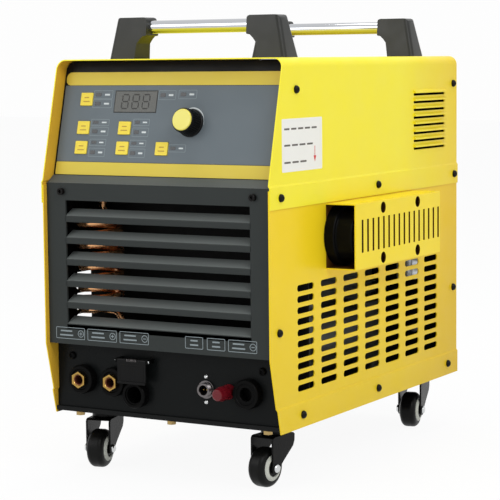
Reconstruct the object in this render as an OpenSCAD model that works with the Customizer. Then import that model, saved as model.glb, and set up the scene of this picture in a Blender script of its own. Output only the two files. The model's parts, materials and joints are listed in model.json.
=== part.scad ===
// Plasma cutter with a built-in air compressor: a sheet metal case on four swivel casters.
// X runs across the case, the front faces -Y, and Z is up from the floor. Millimetres.
// The origin is on the floor, under the middle of the bounding box.

/* [Case] */
// Width over the flat faces of the side panels
body_w = 320; // [300:1:350]
// Depth from the front panel to the rear edge of the cover
body_l = 528; // [500:1:580]
// Height of the case above the underside of the base pan
body_h = 436; // [425:1:470]
// Sheet metal thickness
sheet_t = 1.5; // [1.2:0.1:1.8]
// Outside radius of the cover's top corners
corner_r = 12; // [6:1:20]
// Outward step of the overlapping bands
joggle = 1.7; // [1.7:0.1:2.4]
// Height of the base pan's upturned flanges
flange_h = 24; // [20:1:26]
// Height of the recessed connector bay above the base pan's underside
bay_h = 87; // [80:1:92]
// How far the bottom edge of the case sits behind the front face
chin_setback = 21.4; // [16:0.1:22]
// How far the top edge of the cover sits behind the front face
brow_setback = 36.3; // [25:0.1:45]

/* [Side vents] */
// Rows of slots in each side panel
slot_rows = 10; // [4:1:10]
// Columns of slots in each side panel
slot_cols = 7; // [3:1:7]
// Length of one slot
slot_len = 42; // [25:1:48]
// Width of one slot
slot_w = 8; // [4:0.5:10]
// Distance between slot rows
slot_row_pitch = 13.3; // [12:0.1:13.5]
// Distance between slot columns
slot_col_pitch = 59.2; // [52:0.1:62]
// Height of the lowest slot row above the base pan's underside
slot_first_h = 44.4; // [42:0.1:46]
// Pressed louvres in each side of the cover
louvre_rows = 8; // [3:1:8]
// Length of one pressed louvre
louvre_len = 100; // [60:1:110]
// Distance between pressed louvres
louvre_pitch = 10.2; // [9.5:0.1:11]
// How far a pressed louvre stands out
louvre_out = 3.5; // [2.5:0.1:5]

/* [Front louvre panel] */
// Height of the louvre panel's front face
grille_h = 199; // [195:1:205]
// Recess of the louvre panel behind the front edges of the sides
grille_recess = 6.5; // [0:0.5:8]
// Width of the opening behind the blades
grille_open_w = 261; // [220:1:264]
// Number of blades above the sill
blade_count = 5; // [3:1:5]
// Distance between blades
blade_pitch = 26.65; // [26:0.05:27]
// Height of a blade's upright lip
blade_lip = 8.5; // [6:0.5:11]
// Depth of a blade from front to back
blade_depth = 16; // [12:0.5:20]
// Height of the label strip under the sill
grille_foot = 26.1; // [25:0.1:29]
// Wall thickness of the moulded panel
grille_t = 3; // [2.5:0.1:3.5]

/* [Control panel] */
// Recess of the control panel behind the cover's front edge
panel_recess = 20; // [16:0.5:24]
// Thickness of the control panel plate
plate_t = 2; // [1.5:0.1:2.5]
// Thickness of the printed overlay
film_t = 0.5; // [0.3:0.1:0.8]
// Height of the coloured strips above and below the overlay
strip_h = 16; // [12:1:18]
// Height of the overlay between the strips
overlay_h = 93; // [93:1:95]
// Margin between the overlay and the sides of the panel
overlay_margin = 2.7; // [1:0.1:8]
// Width of a key
key_w = 17.4; // [14:0.1:20]
// Height of a key
key_h = 16; // [12:0.1:17]
// Key travel
key_travel = 0.6; // [0.3:0.1:0.7]
// Width of the display window
display_w = 61.5; // [55:0.5:64]
// Height of the display window
display_h = 27; // [22:0.5:29]
// Radius of the knob's ribbed body
knob_r = 16; // [13:0.5:18]
// Length of the knob's ribbed body
knob_len = 20; // [16:0.5:24]

/* [Connectors] */
// Recess of the connector panel behind the front face
bay_recess = 24; // [22:0.5:28]
// Height of the row of output sockets above the base pan's underside
socket_h = 42.5; // [40:0.5:46]
// Radius of an output socket's insulating body
socket_r = 18; // [15:0.5:18]
// How far an output socket's body stands out
socket_out = 12; // [8:0.5:14]
// Radius of an output socket's plug bore
socket_bore_r = 6.5; // [5:0.1:7]
// Across-flats width of an output socket's brass hexagon
hex_af = 18; // [17:0.5:20]
// Radius of the torch socket's housing
torch_r = 16.3; // [14:0.1:16.4]
// Radius of the torch socket's bore
torch_bore_r = 10.5; // [8:0.5:11]
// Width of the torch socket's spring flap
flap_w = 41; // [34:1:44]
// Length of the flap from its hinge to its free edge
flap_len = 28.5; // [26:0.5:30]
// Radius of the pilot arc terminal's cap
cap_r = 8.2; // [6.5:0.1:9]

/* [Filter hood] */
// Length of the hood along the case
hood_l = 245; // [225:1:260]
// Height of the hood
hood_h = 80; // [76:1:80]
// How far the hood stands out from the side panel
hood_out = 40; // [36:1:46]
// Distance of the hood's open end from the front face
hood_front = 139; // [125:1:150]
// Radius of the intake filter's case
filter_r = 37.5; // [32:0.5:37.5]
// Upright slots in the hood's face
hood_slots = 16; // [8:1:16]

/* [Handles] */
// Radius of a handle tube
tube_r = 8.2; // [7:0.1:10]
// Height of a handle tube's axis above the cover
tube_h = 39.2; // [36:0.1:41]
// Distance between a handle bracket's outer side and the case's centre plane
bracket_x = 127; // [118:1:136]
// Distance between the front handle and the front face
handle_front = 117; // [105:1:130]
// Distance between the rear handle and the rear edge
handle_rear = 55; // [48:1:75]

/* [Casters] */
// Height of a caster, from the floor to the base pan
caster_h = 75; // [73:1:80]
// Wheel radius over the tyre
wheel_r = 24; // [22:0.5:26]
// Width of the tyre
tyre_w = 22; // [18:1:26]
// Horizontal distance from the swivel axis to the axle
trail = 22; // [17:0.5:24]
// Radius of the axle
axle_r = 3; // [2.5:0.1:4]
// Distance of a front swivel axis from the side of the case
caster_front_inset = 37; // [34:1:60]
// Distance of a rear swivel axis from the side of the case
caster_rear_inset = 46; // [34:1:60]
// Distance of the front swivel axes from the front face
caster_front = 76; // [72:1:95]
// Distance of the rear swivel axes from the rear edge
caster_rear = 38; // [34:1:60]
// Turn of the front left caster, anticlockwise from above
swivel_fl = 12; // [-25:1:25]
// Turn of the front right caster
swivel_fr = -6; // [-25:1:25]
// Turn of the rear left caster
swivel_rl = -4; // [-25:1:25]
// Turn of the rear right caster
swivel_rr = 10; // [-25:1:25]

/* [Inside and rear] */
// Height of the electronics shelf above the base pan's underside
shelf_h = 267; // [262:1:268]
// Side of the square fan frame
fan_size = 150; // [130:1:150]
// Depth of the fan frame
fan_depth = 38; // [32:1:45]
// Radius of the supply cable's bore in its gland
gland_bore_r = 6; // [4:0.5:7]
// Mean radius of the cooling coil
coil_r = 25; // [22:0.5:27]
// Radius of the cooling coil's tube
coil_tube_r = 4.5; // [3:0.5:5]
// Rise of the cooling coil per turn
coil_pitch = 13.4; // [12.5:0.1:13.6]
// Turns in the cooling coil
coil_turns = 9; // [5:1:9]

/* [Hidden] */
$fn = 48;

// Clearances
fit_gap = 0.05;     // running or sliding clearance on a radius
seat_gap = 0.3;     // between a panel and what it slips into
skin_gap = 0.2;     // between a band and the flange that it covers
cut_over = 1;       // how far a cut runs past the face it opens

// Colours
yellow = [0.93, 0.80, 0.25];
charcoal = [0.20, 0.21, 0.21];
black = [0.12, 0.12, 0.12];
slate = [0.42, 0.45, 0.48];
steel = [0.75, 0.76, 0.78];
zinc = [0.78, 0.70, 0.45];
brass = [0.80, 0.66, 0.35];
copper = [0.80, 0.50, 0.32];
cream = [0.85, 0.86, 0.82];
red = [0.65, 0.12, 0.15];
green = [0.10, 0.40, 0.22];

// Levels and planes of the case
half_w = body_w / 2;
front_y = -body_l / 2;
rear_y = body_l / 2;
grille_y = front_y + grille_recess;
base_z = caster_h;
floor_z = base_z + sheet_t;
top_z = base_z + body_h;
skirt_drop = 3;
skirt_z = base_z - skirt_drop;
low_joggle_z = floor_z + flange_h + 3;
bay_top_z = base_z + bay_h;
grille_top_z = bay_top_z + grille_h;
joggle_z = grille_top_z + 3.5;
band_h = 28.2;
cover_edge_z = joggle_z - band_h;
side_top_z = joggle_z - 6;
inner_half = half_w - sheet_t - seat_gap;
band_x = half_w + joggle;
brow_slope = brow_setback / (top_z - joggle_z);
tilt = atan(brow_slope);
chin_slope = chin_setback / (bay_top_z - skirt_z);
ledge_h = 9;
panel_z = grille_top_z + ledge_h;
panel_top_z = top_z - sheet_t - 1.2;

// Fasteners
screw_r = 2;
screw_hole_r = 2.2;
screw_head_r = 4.8;
screw_head_h = 4;
screw_len = 8;
cap_screw_h = 5;

// Overall box, which sets the origin
cap_len = 24;
post_out = 6;
front_reach = min(bay_recess - post_out - cap_len, grille_recess - cap_screw_h, 0);
gland_out = 24;
case_x = -(half_w + hood_out - band_x - screw_head_h) / 2;
case_y = -(front_y + front_reach + rear_y + gland_out) / 2;

function edge_y(z) = front_y + brow_slope * (z - joggle_z);
function panel_y(z) = edge_y(z) + panel_recess;
function chin_y(z) = front_y + chin_slope * (bay_top_z - z);

module placed() { translate([case_x, case_y, 0]) children(); }

// Turns a shape drawn in the YZ plane and extruded along Z into one extruded along X
module along_x(length) {
    rotate([90, 0, 90]) linear_extrude(length, center = true) children();
}

// Turns a shape drawn in the XZ plane into one extruded along Y from y0 to y1
module along_y(y0, y1) {
    translate([0, y1, 0]) rotate([90, 0, 0]) linear_extrude(y1 - y0) children();
}

module both_sides() { children(); mirror([1, 0, 0]) children(); }

// A frame on the control panel's front face: X across, Y up the slope, Z out of it
module on_panel(x, z) {
    translate([x, panel_y(z), z]) rotate([90 - tilt, 0, 0]) children();
}

// A frame that points forward: X across, Y up, Z out of the front
module facing_front(x, y, z) { translate([x, y, z]) rotate([90, 0, 0]) children(); }

// A frame that points backward, out of the rear
module facing_rear(x, y, z) { translate([x, y, z]) rotate([-90, 0, 0]) children(); }

module rounded_rect(w, h, r) {
    square([w - 2 * r, h], center = true);
    square([w, h - 2 * r], center = true);
    for (sx = [-1, 1], sy = [-1, 1])
        translate([sx * (w / 2 - r), sy * (h / 2 - r)]) circle(r);
}

module stadium(len, w) {
    square([len - w, w], center = true);
    for (s = [-1, 1]) translate([s * (len - w) / 2, 0]) circle(w / 2);
}

module tube(r_out, r_in, h) {
    difference() {
        cylinder(h = h, r = r_out);
        translate([0, 0, -cut_over]) cylinder(h = h + 2 * cut_over, r = r_in);
    }
}

// ---- Screws ------------------------------------------------------------------------

// Side screws as [y, z], grouped by the sheets they pass
cover_screws = [[front_y + 65.6, top_z - 37.4], [rear_y - 13, top_z - 37.4]];
band_screws = [[front_y + 24, cover_edge_z + 13], [14, cover_edge_z + 13],
               [rear_y - 13, cover_edge_z + 13]];
low_screws = [[front_y + 21, bay_top_z + 30], [rear_y - 13, bay_top_z + 30]];
skirt_screws = [[front_y + 74.4, base_z + 12.5], [13, base_z + 12.5],
                [rear_y - 34, base_z + 12.5]];
hood_screw_dy = [76, 176];
hood_screw_in = 9;
hood_z0 = cover_edge_z - 1.3 - hood_h;
hood_y0 = front_y + hood_front;
hood_screws = [for (dy = hood_screw_dy, z = [hood_z0 + hood_screw_in, hood_z0 + hood_h - hood_screw_in])
    [hood_y0 + dy, z]];
grille_screw_x = half_w - 24.5;
grille_screw_z = grille_top_z - 10.5;

module side_screw_holes(places) {
    for (p = places)
        translate([0, p[0], p[1]]) rotate([0, 90, 0])
            cylinder(h = 3 * body_w, r = screw_hole_r, center = true);
}

module pan_screw() {
    cylinder(h = screw_head_h * 0.6, r = screw_head_r);
    translate([0, 0, screw_head_h * 0.6])
        cylinder(h = screw_head_h * 0.4, r1 = screw_head_r, r2 = screw_head_r - 1.4);
    translate([0, 0, -screw_len]) cylinder(h = screw_len + cut_over, r = screw_r);
}

module side_screws(places, x) {
    both_sides() for (p = places)
        translate([x, p[0], p[1]]) rotate([0, 90, 0]) pan_screw();
}

module case_screws() {
    color(black) placed() {
        side_screws(cover_screws, half_w);
        side_screws(band_screws, band_x);
        side_screws(low_screws, half_w);
        side_screws(skirt_screws, band_x);
        for (p = hood_screws)
            translate([half_w + sheet_t, p[0], p[1]]) rotate([0, 90, 0]) pan_screw();
        for (s = [-1, 1])
            facing_front(s * grille_screw_x, grille_y, grille_screw_z) cap_screw();
        for (s = [-1, 1])
            facing_front(s * bay_screw_x, front_y + bay_recess, bay_screw_z) pan_screw();
    }
}

module cap_screw() {
    difference() {
        cylinder(h = cap_screw_h, r = 4.2);
        translate([0, 0, cap_screw_h - 2.5]) cylinder(h = 2.5 + cut_over, r = 2.3, $fn = 6);
    }
    translate([0, 0, -screw_len]) cylinder(h = screw_len + 0.5, r = screw_r);
}

// ---- Casters -----------------------------------------------------------------------

caster_front_x = half_w - caster_front_inset;
caster_rear_x = half_w - caster_rear_inset;
caster_front_y = front_y + caster_front;
caster_rear_y = rear_y - caster_rear;
// Each caster as [X and Y of its swivel axis, turn]
front_left = [-caster_front_x, caster_front_y, swivel_fl];
front_right = [caster_front_x, caster_front_y, swivel_fr];
rear_left = [-caster_rear_x, caster_rear_y, swivel_rl];
rear_right = [caster_rear_x, caster_rear_y, swivel_rr];
plate_thick = 3;
race_r = 18;
fork_half_w = tyre_w / 2 + 5.6;
fork_leg_t = 2.5;
fork_front = 6.5;
fork_top_z = base_z - 13.2;
fork_roof_t = 2.2;
kingpin_r = 5;
kingpin_head_r = 7;
kingpin_head_h = 2;
ring_r = 16;
hub_r = 10.5;
ring_slope = 2.6;
tyre_shoulder = 7;
axle_head_h = 3;
axle_head_r = 5.2;
hub_half = fork_half_w - fork_leg_t - skin_gap;

// A caster's own frame: the swivel axis at X = 0 and Y = 0, the wheel trailing to -Y
module at_caster(c) {
    placed() translate([c[0], c[1], 0]) rotate(c[2]) children();
}

module caster_plate() {
    translate([0, 0, base_z - plate_thick]) linear_extrude(plate_thick)
        rounded_rect(50, 56, 5);
    translate([0, 0, fork_top_z + skin_gap])
        cylinder(h = base_z - plate_thick - fork_top_z - skin_gap + 0.5, r = race_r);
    translate([0, 0, fork_top_z - fork_roof_t - kingpin_head_h])
        cylinder(h = fork_roof_t + kingpin_head_h + 1, r = kingpin_r);
    translate([0, 0, fork_top_z - fork_roof_t - kingpin_head_h - skin_gap])
        cylinder(h = kingpin_head_h, r = kingpin_head_r);
}

bolt_x = half_w - 25;
bolt_y = chin_y(base_z) + 16;
bolt_head_h = 7;
bolt_head_r = 6;

module caster_plates() {
    color(zinc) placed() {
        for (c = [front_left, front_right, rear_left, rear_right])
            translate([c[0], c[1], 0]) caster_plate();
        for (x = [-bolt_x, 0, bolt_x]) translate([x, bolt_y, base_z - bolt_head_h])
            cylinder(h = bolt_head_h, r = bolt_head_r, $fn = 6);
    }
}

// The fork's side view, with the swivel axis at y = 0 and the axle at y = -trail
module fork_outline() {
    tip_r = 7.5;
    front = -trail - fork_front;
    polygon([
        [front, wheel_r], [front, fork_top_z - 4], [front + 1.5, fork_top_z - 1],
        [front + 4.5, fork_top_z], [14, fork_top_z], [16.5, fork_top_z - 2],
        [16, fork_top_z - 10], [13, fork_top_z - 16], [-trail + 15, wheel_r + 6.5],
        [-trail + tip_r, wheel_r], [-trail, wheel_r - tip_r * 0.5]
    ]);
    translate([-trail, wheel_r]) circle(tip_r);
}

module caster_fork(c) {
    color(black) at_caster(c) difference() {
        along_x(2 * fork_half_w) fork_outline();
        translate([-fork_half_w + fork_leg_t, -2 * wheel_r, -cut_over])
            cube([2 * (fork_half_w - fork_leg_t), 4 * wheel_r,
                  fork_top_z - fork_roof_t + cut_over]);
        translate([0, 0, fork_top_z - fork_roof_t - cut_over])
            cylinder(h = fork_roof_t + 2 * cut_over, r = kingpin_r + fit_gap);
        translate([0, -trail, wheel_r]) rotate([0, 90, 0])
            cylinder(h = 4 * fork_half_w, r = axle_r + fit_gap, center = true);
    }
}

module caster_axle(c) {
    color(steel) at_caster(c) translate([0, -trail, wheel_r]) rotate([0, 90, 0]) {
        cylinder(h = 2 * fork_half_w + 1, r = axle_r, center = true);
        translate([0, 0, fork_half_w]) cylinder(h = axle_head_h / 2, r = axle_head_r);
        translate([0, 0, fork_half_w + axle_head_h / 2])
            cylinder(h = axle_head_h / 2, r1 = axle_head_r, r2 = axle_head_r - 1.5);
        translate([0, 0, -fork_half_w - axle_head_h])
            cylinder(h = axle_head_h, r = axle_head_r, $fn = 6);
    }
}

module caster_wheel(c) {
    face = hub_half - ring_slope;
    bore = axle_r + fit_gap;
    color(cream) at_caster(c) translate([0, -trail, wheel_r]) rotate([0, 90, 0])
        rotate_extrude() polygon([
            [bore, -hub_half], [hub_r, -hub_half], [ring_r, -face],
            [ring_r, face], [hub_r, hub_half], [bore, hub_half]
        ]);
}

module caster_tyre(c) {
    inner = ring_r + fit_gap;
    color(black) at_caster(c) translate([0, -trail, wheel_r]) rotate([0, 90, 0])
        rotate_extrude() intersection() {
            translate([inner, -tyre_w / 2]) square([wheel_r - inner, tyre_w]);
            union() {
                translate([0, -tyre_w / 2]) square([wheel_r - tyre_shoulder, tyre_w]);
                translate([0, -tyre_w / 2 + tyre_shoulder])
                    square([wheel_r, tyre_w - 2 * tyre_shoulder]);
                for (s = [-1, 1])
                    translate([wheel_r - tyre_shoulder, s * (tyre_w / 2 - tyre_shoulder)])
                        circle(tyre_shoulder);
            }
        }
}

// ---- Sheet metal case --------------------------------------------------------------

base_rear_y = rear_y - sheet_t - seat_gap;

module base_pan() {
    front = chin_y(base_z);
    length = base_rear_y - front;
    lip_h = 4;
    color(charcoal) placed() difference() {
        translate([-half_w, front, base_z]) cube([body_w, length, sheet_t + flange_h]);
        translate([-half_w + sheet_t, front - cut_over, floor_z + lip_h])
            cube([body_w - 2 * sheet_t, length - sheet_t + cut_over, flange_h]);
        translate([-half_w + sheet_t, front + sheet_t, floor_z])
            cube([body_w - 2 * sheet_t, length - 2 * sheet_t, lip_h + cut_over]);
        translate([-half_w - cut_over, front - cut_over, floor_z + lip_h])
            cube([body_w + 2 * cut_over, 4 + cut_over, flange_h]);
        side_screw_holes(skirt_screws);
    }
}

// A side panel's cross-section in XZ, on the +X side
module side_section() {
    polygon([
        [half_w, side_top_z], [half_w, low_joggle_z], [band_x, low_joggle_z - 2.5],
        [band_x, skirt_z], [band_x - sheet_t, skirt_z],
        [band_x - sheet_t, low_joggle_z - 3.1], [half_w - sheet_t, low_joggle_z - 0.6],
        [half_w - sheet_t, side_top_z]
    ]);
}

module side_profile() {
    polygon([
        [front_y, side_top_z + 1], [front_y, bay_top_z], [chin_y(skirt_z), skirt_z - 1],
        [rear_y, skirt_z - 1], [rear_y, side_top_z + 1]
    ]);
}

module side_slots() {
    for (row = [0 : slot_rows - 1], col = [0 : slot_cols - 1])
        translate([(col - (slot_cols - 1) / 2) * slot_col_pitch,
                   base_z + slot_first_h + row * slot_row_pitch])
            stadium(slot_len, slot_w);
}

module side_panel() {
    difference() {
        intersection() {
            along_y(front_y, rear_y) side_section();
            along_x(2 * band_x + 10) side_profile();
        }
        along_x(3 * body_w) side_slots();
        side_screw_holes(concat(band_screws, low_screws, skirt_screws));
    }
}

module side_panel_right() {
    color(yellow) placed() difference() {
        side_panel();
        side_screw_holes(hood_screws);
        translate([0, filter_y, filter_z]) rotate([0, 90, 0])
            cylinder(h = body_w, r = filter_neck_r + seat_gap);
    }
}

module side_panel_left() { color(yellow) placed() mirror([1, 0, 0]) side_panel(); }

// The cover's outline in XZ, inset from its outer face
module cover_outline(inset) {
    w = half_w - inset;
    b = band_x - inset;
    r = corner_r - inset;
    polygon([
        [-b, cover_edge_z - 1], [-b, joggle_z - 2.5 - inset * 0.4], [-w, joggle_z - inset * 0.4],
        [-w, top_z - corner_r], [w, top_z - corner_r], [w, joggle_z - inset * 0.4],
        [b, joggle_z - 2.5 - inset * 0.4], [b, cover_edge_z - 1]
    ]);
    translate([-w + r, top_z - corner_r - 1]) square([2 * (w - r), r + 1]);
    for (s = [-1, 1]) translate([s * (w - r), top_z - corner_r]) circle(r);
}

module cover_profile() {
    polygon([
        [front_y, cover_edge_z], [front_y, joggle_z], [edge_y(top_z), top_z],
        [edge_y(top_z), top_z + 1], [rear_y, top_z + 1], [rear_y, cover_edge_z]
    ]);
}

louvre_y = rear_y - 40 - louvre_len / 2;
louvre_top_z = top_z - 43;
louvre_h = 5.4;
louvre_wall = 1;
louvre_slit = 3.3;

// One pressed louvre in XZ, closed on top and open underneath, on the +X side
module louvre_section(inset) {
    x = half_w - sheet_t / 2;
    polygon([
        [x, -cut_over * inset], [half_w + louvre_out - inset * louvre_wall, -cut_over * inset],
        [half_w + louvre_out - inset * louvre_wall, louvre_h * 0.35],
        [x, louvre_h - inset * louvre_wall]
    ]);
}

module louvre_hood() {
    difference() {
        along_y(-louvre_len / 2, louvre_len / 2) louvre_section(0);
        along_y(-louvre_len / 2 + louvre_wall, louvre_len / 2 - louvre_wall) louvre_section(1);
    }
}

module louvre_cut() {
    translate([half_w - 2 * sheet_t, -louvre_len / 2 + louvre_wall, -louvre_slit])
        cube([2.4 * sheet_t, louvre_len - 2 * louvre_wall, louvre_h * 0.6 + louvre_slit]);
}

module at_louvres() {
    for (row = [0 : louvre_rows - 1])
        translate([0, louvre_y, louvre_top_z - louvre_h - row * louvre_pitch]) children();
}

module top_cover() {
    color(yellow) placed() {
        difference() {
            intersection() {
                along_y(front_y, rear_y) difference() {
                    cover_outline(0);
                    cover_outline(sheet_t);
                }
                along_x(2 * band_x + 10) cover_profile();
            }
            side_screw_holes(concat(cover_screws, band_screws));
            both_sides() at_louvres() louvre_cut();
        }
        both_sides() at_louvres() louvre_hood();
    }
}

// ---- Rear panel and what it carries ------------------------------------------------

rear_flange = 18;
rear_panel_top = top_z - sheet_t - seat_gap;
fan_below_top = 12.5;
fan_rim = 5;
fan_screw_inset = 9;
fan_z = top_z - fan_below_top - fan_size / 2;
fan_bore_r = fan_size / 2 - fan_rim;
fan_screw = fan_size / 2 - fan_screw_inset;
breaker_inset = 120;
breaker_up = 130;
breaker_x = half_w - breaker_inset;
breaker_z = base_z + breaker_up;
breaker_w = 36;
breaker_h = 66;
vent_rows = 8;
vent_h = 125;
vent_inset = 51;
gland_inset = 60;
gland_up = 55;
gland_x = half_w - gland_inset;
gland_z = base_z + gland_up;
gland_r = 12;

module rear_outline() {
    w = inner_half;
    r = corner_r - sheet_t;
    translate([-w, base_z]) square([2 * w, rear_panel_top - base_z - r]);
    translate([-w + r, base_z]) square([2 * (w - r), rear_panel_top - base_z]);
    for (s = [-1, 1]) translate([s * (w - r), rear_panel_top - r]) circle(r);
}

module rear_vents() {
    for (row = [0 : vent_rows - 1], col = [0, 1])
        translate([vent_inset - half_w + col * (slot_len + 11), base_z + vent_h + row * slot_row_pitch])
            stadium(slot_len, slot_w);
}

module rear_panel() {
    flange_z0 = floor_z + flange_h + 8;
    color(charcoal) placed() difference() {
        union() {
            along_y(rear_y - sheet_t, rear_y) rear_outline();
            both_sides() translate([inner_half - sheet_t, rear_y - rear_flange, flange_z0])
                cube([sheet_t, rear_flange, top_z - corner_r - 4 - flange_z0]);
        }
        facing_rear(0, rear_y - 2 * sheet_t, fan_z)
            cylinder(h = 4 * sheet_t, r = fan_bore_r);
        for (sx = [-1, 1], sz = [-1, 1])
            facing_rear(sx * fan_screw, rear_y - 2 * sheet_t, fan_z + sz * fan_screw)
                cylinder(h = 4 * sheet_t, r = screw_hole_r);
        translate([breaker_x - breaker_w / 2 - seat_gap, rear_y - 2 * sheet_t,
                   breaker_z - breaker_h / 2 - seat_gap])
            cube([breaker_w + 2 * seat_gap, 4 * sheet_t, breaker_h + 2 * seat_gap]);
        facing_rear(gland_x, rear_y - 2 * sheet_t, gland_z)
            cylinder(h = 4 * sheet_t, r = gland_r + seat_gap);
        along_y(rear_y - 2 * sheet_t, rear_y + 2 * sheet_t) rear_vents();
        side_screw_holes([cover_screws[1], band_screws[2], low_screws[1]]);
    }
}

fan_front_y = rear_y - sheet_t - fan_depth;
fan_hub_r = 24;
spindle_r = 2.5;
blade_root = 3;
fan_blade = 30;
rotor_room = 14;
rotor_depth = fan_depth - rotor_room;

// The frame, its stator with the spindle, and a rear finger guard of flat rings
module fan_frame() {
    bar = 2.4;
    guard_t = 2;
    color(black) placed() facing_rear(0, fan_front_y, fan_z) {
        difference() {
            linear_extrude(fan_depth) rounded_rect(fan_size, fan_size, 8);
            translate([0, 0, -cut_over]) cylinder(h = fan_depth + 2 * cut_over, r = fan_bore_r);
            for (sx = [-1, 1], sy = [-1, 1])
                translate([sx * fan_screw, sy * fan_screw, -cut_over])
                    cylinder(h = fan_depth + 2 * cut_over, r = screw_hole_r);
        }
        for (a = [45 : 90 : 315]) rotate(a)
            translate([fan_hub_r - 4, -4, 0]) cube([fan_bore_r - fan_hub_r + 6, 8, 4]);
        cylinder(h = 6, r = fan_hub_r);
        cylinder(h = 6 + rotor_depth - 4, r = spindle_r);
        for (k = [1 : 4]) translate([0, 0, fan_depth - guard_t])
            tube(fan_bore_r * k / 4.6 + bar / 2, fan_bore_r * k / 4.6 - bar / 2, guard_t);
        for (a = [0 : 45 : 315]) rotate(a)
            translate([fan_bore_r / 4.6, -bar / 2, fan_depth - guard_t])
                cube([fan_bore_r * 3.6 / 4.6 + 1, bar, guard_t]);
    }
}

module fan_rotor() {
    blade_w = fan_bore_r - fan_hub_r - blade_root;
    color(charcoal) placed() facing_rear(0, fan_front_y + 6 + seat_gap, fan_z) difference() {
        union() {
            cylinder(h = rotor_depth, r = fan_hub_r);
            for (a = [0 : 360 / 7 : 359]) rotate(a)
                translate([fan_hub_r - blade_root, 0, rotor_depth / 2]) rotate([40, 0, 0])
                    translate([0, -fan_blade / 2, -1]) cube([blade_w, fan_blade, 2]);
        }
        translate([0, 0, -cut_over])
            cylinder(h = rotor_depth - 4 + cut_over, r = spindle_r + fit_gap);
    }
}

breaker_depth = 55;
breaker_proud = 3;
breaker_rim = 4;
lever_slot = [12, 30];
lever_well = 15;
lever_pivot_in = 6;
lever_r = 5.5;

module breaker_body() {
    lever_pin_y = rear_y + breaker_proud - lever_pivot_in;
    color(black) placed() difference() {
        union() {
            translate([breaker_x - breaker_w / 2, rear_y - breaker_depth,
                       breaker_z - breaker_h / 2])
                cube([breaker_w, breaker_depth + breaker_proud, breaker_h]);
            translate([breaker_x - breaker_w / 2 - breaker_rim, rear_y,
                       breaker_z - breaker_h / 2 - breaker_rim])
                cube([breaker_w + 2 * breaker_rim, breaker_rim / 2, breaker_h + 2 * breaker_rim]);
        }
        translate([breaker_x - lever_slot[0] / 2, rear_y - lever_well, breaker_z - lever_slot[1] / 2])
            cube([lever_slot[0], 2 * lever_well, lever_slot[1]]);
        translate([breaker_x, lever_pin_y, breaker_z]) rotate([0, 90, 0])
            cylinder(h = lever_slot[0] + 8, r = 1.5 + fit_gap, center = true);
    }
}

lever_rest = 25;

module breaker_lever() {
    lever_pin_y = rear_y + breaker_proud - lever_pivot_in;
    color(cream) placed() translate([breaker_x, lever_pin_y, breaker_z])
        rotate([-lever_rest, 0, 0]) {
            rotate([0, 90, 0]) cylinder(h = lever_slot[0] - 1, r = lever_r, center = true);
            rotate([0, 90, 0]) cylinder(h = lever_slot[0] + 6, r = 1.5, center = true);
            translate([-lever_slot[0] / 2 + 0.5, 0, -3]) cube([lever_slot[0] - 1, 20, 6]);
        }
}

module cable_gland() {
    color(black) placed() facing_rear(gland_x, rear_y, gland_z) difference() {
        union() {
            translate([0, 0, -12]) cylinder(h = 14, r = gland_r);
            translate([0, 0, -sheet_t - 5]) cylinder(h = 5, r = gland_r + 4, $fn = 6);
            cylinder(h = 7, r = gland_r + 4.5, $fn = 6);
            translate([0, 0, 6]) cylinder(h = 12, r = gland_r + 1.5);
            translate([0, 0, 18]) cylinder(h = gland_out - 18, r1 = gland_r + 1.5, r2 = gland_r - 3);
        }
        translate([0, 0, -13]) cylinder(h = gland_out + 14, r = gland_bore_r);
    }
}

// ---- Front louvre panel ------------------------------------------------------------

sill_z = bay_top_z + grille_foot;
grille_flange = 33;
grille_open_top = sill_z + (blade_count + 1) * blade_pitch - 8.2;
blade_rise = 7.5;
blade_t = 2.5;

module grille_shell_section() {
    ledge_y = panel_y(panel_z) - seat_gap;
    polygon([
        [grille_y, bay_top_z], [grille_y, grille_top_z], [ledge_y, panel_z],
        [ledge_y, panel_z - grille_t], [grille_y + grille_t, grille_top_z - grille_t],
        [grille_y + grille_t, bay_top_z + grille_t],
        [front_y + bay_recess - seat_gap, bay_top_z + grille_t],
        [front_y + bay_recess - seat_gap, bay_top_z]
    ]);
}

module blade_section(z) {
    y = grille_y;
    polygon([
        [y, z - blade_lip], [y, z], [y + blade_depth, z + blade_rise],
        [y + blade_depth, z + blade_rise - blade_t], [y + blade_t, z - 1.6],
        [y + blade_t, z - blade_lip]
    ]);
}

module front_louvre_panel() {
    color(charcoal) placed() {
        difference() {
            union() {
                along_x(2 * inner_half) grille_shell_section();
                both_sides() translate([inner_half - grille_t, grille_y + 1, bay_top_z + 1])
                    cube([grille_t, grille_flange - grille_recess - 1, side_top_z - bay_top_z - 1]);
            }
            translate([-grille_open_w / 2, grille_y - cut_over, sill_z - 1])
                cube([grille_open_w, grille_t + 2 * cut_over, grille_open_top - sill_z + 1]);
            side_screw_holes([band_screws[0], low_screws[0]]);
            for (s = [-1, 1])
                facing_front(s * grille_screw_x, grille_y + 2 * grille_t, grille_screw_z)
                    cylinder(h = 3 * grille_t, r = screw_hole_r);
        }
        along_x(grille_open_w + 2)
            for (i = [0 : blade_count]) blade_section(sill_z + i * blade_pitch);
    }
}

// ---- Control panel -----------------------------------------------------------------

// Keys as [x, height above the panel's lower edge]
key_places = [[-121, 92], [-121, 57.4], [-60.5, 57.4],
              [-121, 33.3], [-60.5, 33.3], [-3.6, 33.3]];
display_x = -49;
display_z = 89.3;
knob_x = 33.5;
knob_z = 64;
overlay_z = strip_h;
strip_top_z = overlay_z + overlay_h;
key_flange = 1.5;
key_flange_t = 1.2;
key_proud = 1.2;
key_back = plate_t + seat_gap + key_flange_t;
board_gap = key_back + key_travel + 0.3;
switch_h = 2;
board_t = 1.6;

function slope_len(h) = h / cos(tilt);

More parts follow.
